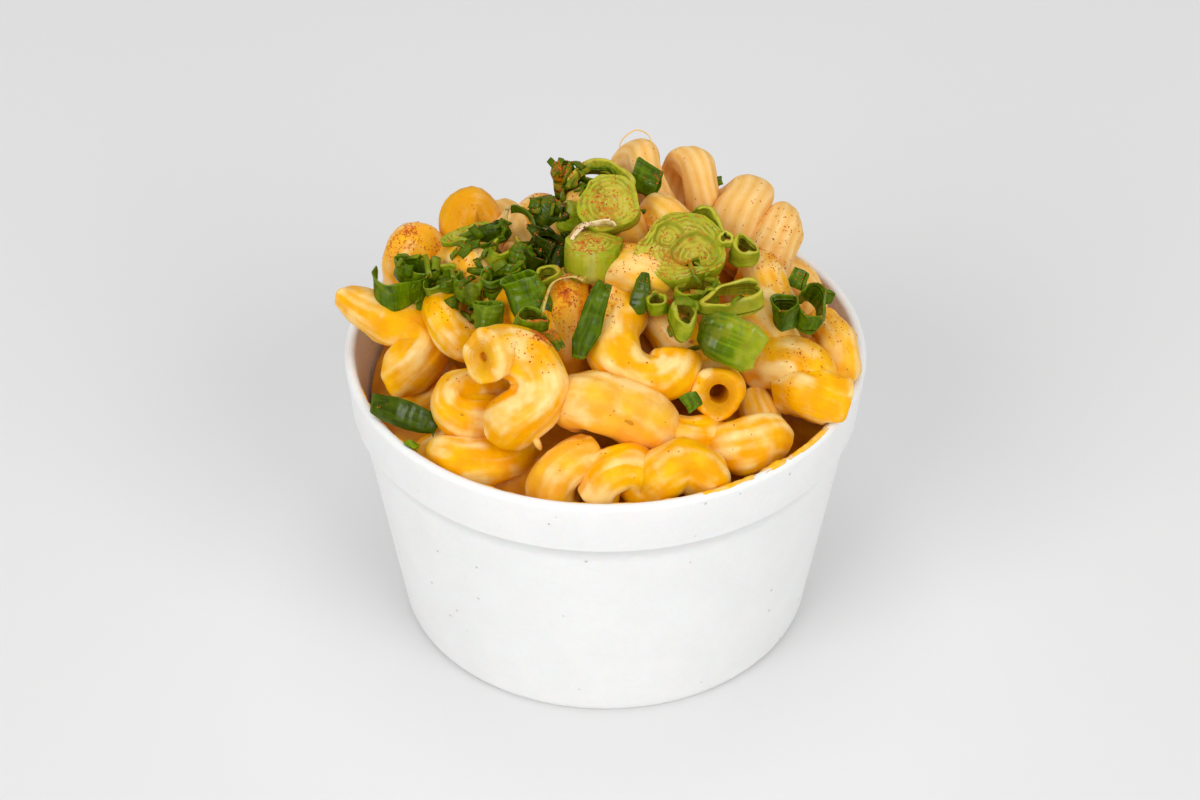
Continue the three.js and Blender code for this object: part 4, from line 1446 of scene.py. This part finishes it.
def toned(bm, tones):
    """Stores how pale the piece is, from one value or from a row of them, left to right: partly its own tone,
    partly painted light and shade.
    """
    pale = bm.verts.layers.float["pale"]
    row = tones if isinstance(tones, tuple) else (tones, tones)
    left = min(vert.co.x for vert in bm.verts)
    width = max(vert.co.x for vert in bm.verts) - left
    for vert in bm.verts:
        reach = (vert.co.x - left) / width * (len(row) - 1)
        i = min(int(reach), len(row) - 2)
        vert[pale] = row[i] + (row[i + 1] - row[i]) * (reach - i)


def scallion_looks():
    """One material for each kind of scallion piece."""
    shades = bpy.context.scene.mac_scallions
    return {
        "bulb": scallion_look(
            "scallion_bulb_layers", colour("94a008"), shades.pith, colour("687c00"), shades.bulb
        ),
        "stalk": scallion_look(
            "scallion_stalk_wall", shades.stalk, shades.pith, colour("4f6c00"), shades.pith
        ),
        "leaf": scallion_look(
            "scallion_leaf_wall", shades.leaf, colour("6c8806"), colour("354800"), colour("6a840c")
        ),
        "peel": scallion_look(
            "scallion_peel", colour("d9bf78"), colour("e8d49a"), colour("b99a48"), colour("ecdcae")
        ),
    }


class MAC_OT_scallions(bpy.types.Operator):
    """Builds every scallion piece on top"""

    bl_idname = "mac.scallions"
    bl_label = "Scallions"

    def execute(self, context):
        looks = scallion_looks()
        pieces = {**SCALLIONS, **SCALLION_BITS}
        for seed, (name, piece) in enumerate(pieces.items()):
            bm = scallion_mesh(name, piece, seed)
            wobble(bm, 5, 0.4 if piece["kind"] == "bulb" else 0.9, seed)
            wobble(bm, 1.6, 0.25, seed)
            bmesh.ops.transform(bm, matrix=placement(piece), verts=bm.verts)
            toned(bm, piece.get("pale", 0))
            kept_in_cup(bm)
            kind = piece["kind"]
            slot = "scallion_stalk" if kind == "peel" else f"scallion_{kind}"
            stands_for = [f"scallion_{name}"] if name in SCALLIONS else []
            levels = 0 if kind == "bulb" else 1
            finished(bm, name, looks[kind], slot, *stands_for, levels=levels)
        return {"FINISHED"}


def shred(bm, rng, where, tone):
    """A small curled strip of leaf: a grid bent round its long axis."""
    skin, pale = (bm.verts.layers.float[word] for word in ("skin", "pale"))
    grain = bm.verts.layers.float_vector["grain"]
    length, width = rng.uniform(*SHRED_LENGTH) * MM, rng.uniform(*SHRED_WIDTH) * MM
    curl = rng.uniform(*SHRED_CURL)
    made = bmesh.ops.create_grid(bm, x_segments=3, y_segments=5, size=0.5)["verts"]
    for vert in made:
        along, turn = vert.co.x, vert.co.y * curl
        vert[skin] = 1
        vert[pale] = tone
        vert[grain] = (vert.co.y * width / MM + tone, 0, along * FIBRE_RUN)
        radius = width / curl
        bend = 0.25 * length * (along * along)
        vert.co = (along * length, radius * math.sin(turn), radius * math.cos(turn) - radius - bend)
    bmesh.ops.transform(bm, matrix=where, verts=made)


class MAC_OT_shreds(bpy.types.Operator):
    """Scatters small shreds of scallion between the larger pieces"""

    bl_idname = "mac.shreds"
    bl_label = "Shreds"

    def execute(self, context):
        rng = random.Random(SHRED_SEED)
        bm = scallion_bmesh()
        for patch in SHREDS.values():
            for _ in range(patch["count"]):
                found = dropped(rng, patch, 0.6)
                if not found:
                    continue
                place, normal = found
                tilt = Vector((rng.uniform(-1, 1), rng.uniform(-1, 1), 0)) * 0.7
                lie = (normal + tilt).to_track_quat("Z", "Y").to_matrix().to_4x4()
                turn = Matrix.Rotation(rng.uniform(0, FULL_TURN), 4, "Z")
                lifted = Matrix.Translation(place + normal * rng.uniform(0.3, 0.9) * MM)
                shred(bm, rng, lifted @ lie @ turn, patch["pale"] + rng.uniform(-0.4, 0.3))
        wobble(bm, 2.5, 0.4, 7)
        look = scallion_looks()["leaf"]
        piece = finished(bm, "leaf_shreds", look, "scallion_leaf", levels=0)
        thickness = piece.modifiers.new("Thickness", "SOLIDIFY")
        thickness.thickness = SHRED_WALL
        return {"FINISHED"}


# ---------- sauce on the rim, and threads of it ----------


def lip_point(angle, turn, lift):
    """A point on the lip: turn goes round its section, 0 outside and pi at the inner edge."""
    cup = bpy.context.scene.mac_cup
    lip = cup.lip_width / 2
    out = cup.rim_radius - lip + (lip + lift) * math.cos(turn)
    height = cup.height - lip + (lip + lift) * math.sin(turn)
    return Vector((out * math.cos(angle), out * math.sin(angle), height))


def smeared(bm, smear, seed):
    """A film of sauce over part of the lip, which shows only where it is thick enough."""
    start, stop = (math.radians(angle) for angle in smear["arc"])
    low, high = (math.radians(angle) for angle in smear["turn"])
    steps = round((stop - start) * SMEAR_RADIUS / SMEAR_SPACING)
    bmesh.ops.create_grid(bm, x_segments=steps, y_segments=SMEAR_ROWS, size=0.5)
    fresh = [vert for vert in bm.verts if not vert.tag]
    for vert in fresh:
        vert.tag = True
        along, across = vert.co.x + 0.5, vert.co.y + 0.5
        angle = start + (stop - start) * along
        turn = low + (high - low) * across
        edge = min(1, 8 * min(along, 1 - along), 4 * min(across, 1 - across))
        broad = noise.noise(Vector((angle * 12, turn * 0.9, seed)))
        fine = noise.noise(Vector((angle * 40, turn * 3, seed)))
        thick = broad + 0.5 * fine
        lift = ((smear["cover"] + thick) * edge - SMEAR_SUNK) * smear["depth"] * MM
        vert.co = lip_point(angle, turn, lift)


def thread(bm, path, radius, ends):
    """A thread of sauce through a few points."""
    frames = frames_along(through([seen(place) for place in path]), THREAD_SPACING)
    verts, edges = ring(bm, radius * MM, 8)
    _, last = drawn_out(bm, verts, edges, frames, tapered(len(frames), *ends))
    bmesh.ops.edgeloop_fill(bm, edges=edges)
    bmesh.ops.edgeloop_fill(bm, edges=last)


class MAC_OT_smears(bpy.types.Operator):
    """Builds the sauce on the cup's rim and the threads of sauce"""

    bl_idname = "mac.smears"
    bl_label = "Smears"

    def execute(self, context):
        bm = bmesh.new()
        for seed, smear in enumerate(SMEARS.values()):
            smeared(bm, smear, seed)
        finished(bm, "rim_smears", smear_look(), "cheese_pasta", levels=0)
        for name, strand in THREADS.items():
            bm = bmesh.new()
            thread(bm, **strand)
            finished(bm, f"thread_{name}", smear_look(), "cheese_pasta", levels=1)
        return {"FINISHED"}


# ---------- the paprika ----------


class MAC_OT_paprika(bpy.types.Operator):
    """Dusts paprika over the heap"""

    bl_idname = "mac.paprika"
    bl_label = "Paprika"

    def execute(self, context):
        rng = random.Random(GRAIN_SEED)
        grain = context.scene.mac_dust.grain
        bm = bmesh.new()
        for patch in PINCHES.values():
            for _ in range(patch["grains"]):
                found = dropped(rng, patch, 0.7)
                if not found:
                    continue
                place, normal = found
                if 2 * noise.noise(place / CLUMP) + 0.15 < rng.uniform(-0.35, 0.5):
                    continue
                width = grain * rng.uniform(0.3, 1) ** 1.5
                shape = Matrix.Diagonal((width, width * rng.uniform(0.5, 1), width * 0.45, 1))
                lie = normal.to_track_quat("Z", "Y").to_matrix().to_4x4()
                turn = Matrix.Rotation(rng.uniform(0, FULL_TURN), 4, "Z")
                matrix = Matrix.Translation(place) @ lie @ turn @ shape
                bmesh.ops.create_cube(bm, size=1, matrix=matrix)
        finished(bm, "paprika_grains", paprika_look(), "cheese_pasta", levels=0)
        return {"FINISHED"}


# ---------- the stage ----------


def soft_light(name, at, power):
    """A square light that faces the middle of the heap."""
    light = bpy.data.lights.new(name, "AREA")
    light.shape = "SQUARE"
    light.size = LIGHT_WIDTH
    light.energy = power
    lamp = bpy.data.objects.new(name, light)
    lamp.location = at
    aim = LIGHT_AIM - Vector(at)
    lamp.rotation_euler = aim.to_track_quat("-Z", "Y").to_euler()
    bpy.context.scene.collection.objects.link(lamp)
    return lamp


def floor_look():
    look = Look("pale_floor", {"Roughness": 0.9})
    floor = bpy.context.scene.mac_stage.floor
    cloud = look.mottle(900, 1)
    look.feed("Base Color", look.mix(cloud, linear(floor), linear(tuple(0.99 * c for c in floor))))
    return look.material


class MAC_OT_stage(bpy.types.Operator):
    """Builds the floor, the lights and the camera"""

    bl_idname = "mac.stage"
    bl_label = "Stage"

    def execute(self, context):
        settings = context.scene.mac_stage
        bm = bmesh.new()
        bmesh.ops.create_grid(bm, x_segments=2, y_segments=2, size=FLOOR_REACH)
        mesh = bpy.data.meshes.new("floor")
        bm.to_mesh(mesh)
        bm.free()
        mesh.materials.append(floor_look())
        floor = bpy.data.objects.new("floor", mesh)
        context.scene.collection.objects.link(floor)
        key, fill, back = (soft_light(name, **light) for name, light in LIGHTS.items())

        world = bpy.data.worlds.new("studio")
        world.use_nodes = True
        sky = world.node_tree.nodes["Background"]
        sky.inputs["Color"].default_value = (1, 1, 1, 1)
        sky.inputs["Strength"].default_value = SKY_STRENGTH
        context.scene.world = world

        lens = bpy.data.cameras.new("camera")
        lens.lens = settings.lens
        lens.sensor_width = SENSOR
        lens.clip_start = 0.01
        camera = bpy.data.objects.new("camera", lens)
        camera.location = settings.camera
        aim = Vector(settings.target) - Vector(settings.camera)
        camera.rotation_euler = aim.to_track_quat("-Z", "Y").to_euler()
        context.scene.collection.objects.link(camera)
        context.scene.camera = camera
        context.scene.view_settings.view_transform = "Standard"
        return {"FINISHED"}


# ---------- the add-on ----------

BUILD_ORDER = (
    MAC_OT_foam_cup,
    MAC_OT_noodles,
    MAC_OT_sauce,
    MAC_OT_scallions,
    MAC_OT_shreds,
    MAC_OT_smears,
    MAC_OT_paprika,
    MAC_OT_stage,
)
SETTINGS = {
    "mac_cup": CupSettings,
    "mac_noodles": NoodleSettings,
    "mac_scallions": ScallionSettings,
    "mac_dust": DustSettings,
    "mac_stage": StageSettings,
}


class MAC_PT_panel(bpy.types.Panel):
    """Lists the build steps"""

    bl_idname = "MAC_PT_panel"
    bl_label = "Mac and Cheese"
    bl_space_type = "VIEW_3D"
    bl_region_type = "UI"
    bl_category = "Mac and Cheese"

    def draw(self, context):
        for step in BUILD_ORDER:
            self.layout.operator(step.bl_idname)


CLASSES = (*SETTINGS.values(), *BUILD_ORDER, MAC_PT_panel)


def register():
    for item in CLASSES:
        bpy.utils.register_class(item)
    for name, group in SETTINGS.items():
        setattr(bpy.types.Scene, name, bpy.props.PointerProperty(type=group))


def unregister():
    for name in SETTINGS:
        delattr(bpy.types.Scene, name)
    for item in reversed(CLASSES):
        bpy.utils.unregister_class(item)


def main():
    register()
    bpy.ops.mac.foam_cup()
    bpy.ops.mac.noodles()
    bpy.ops.mac.sauce()
    bpy.ops.mac.scallions()
    bpy.ops.mac.shreds()
    bpy.ops.mac.smears()
    bpy.ops.mac.paprika()
    bpy.ops.mac.stage()


if __name__ == "__main__":
    main()
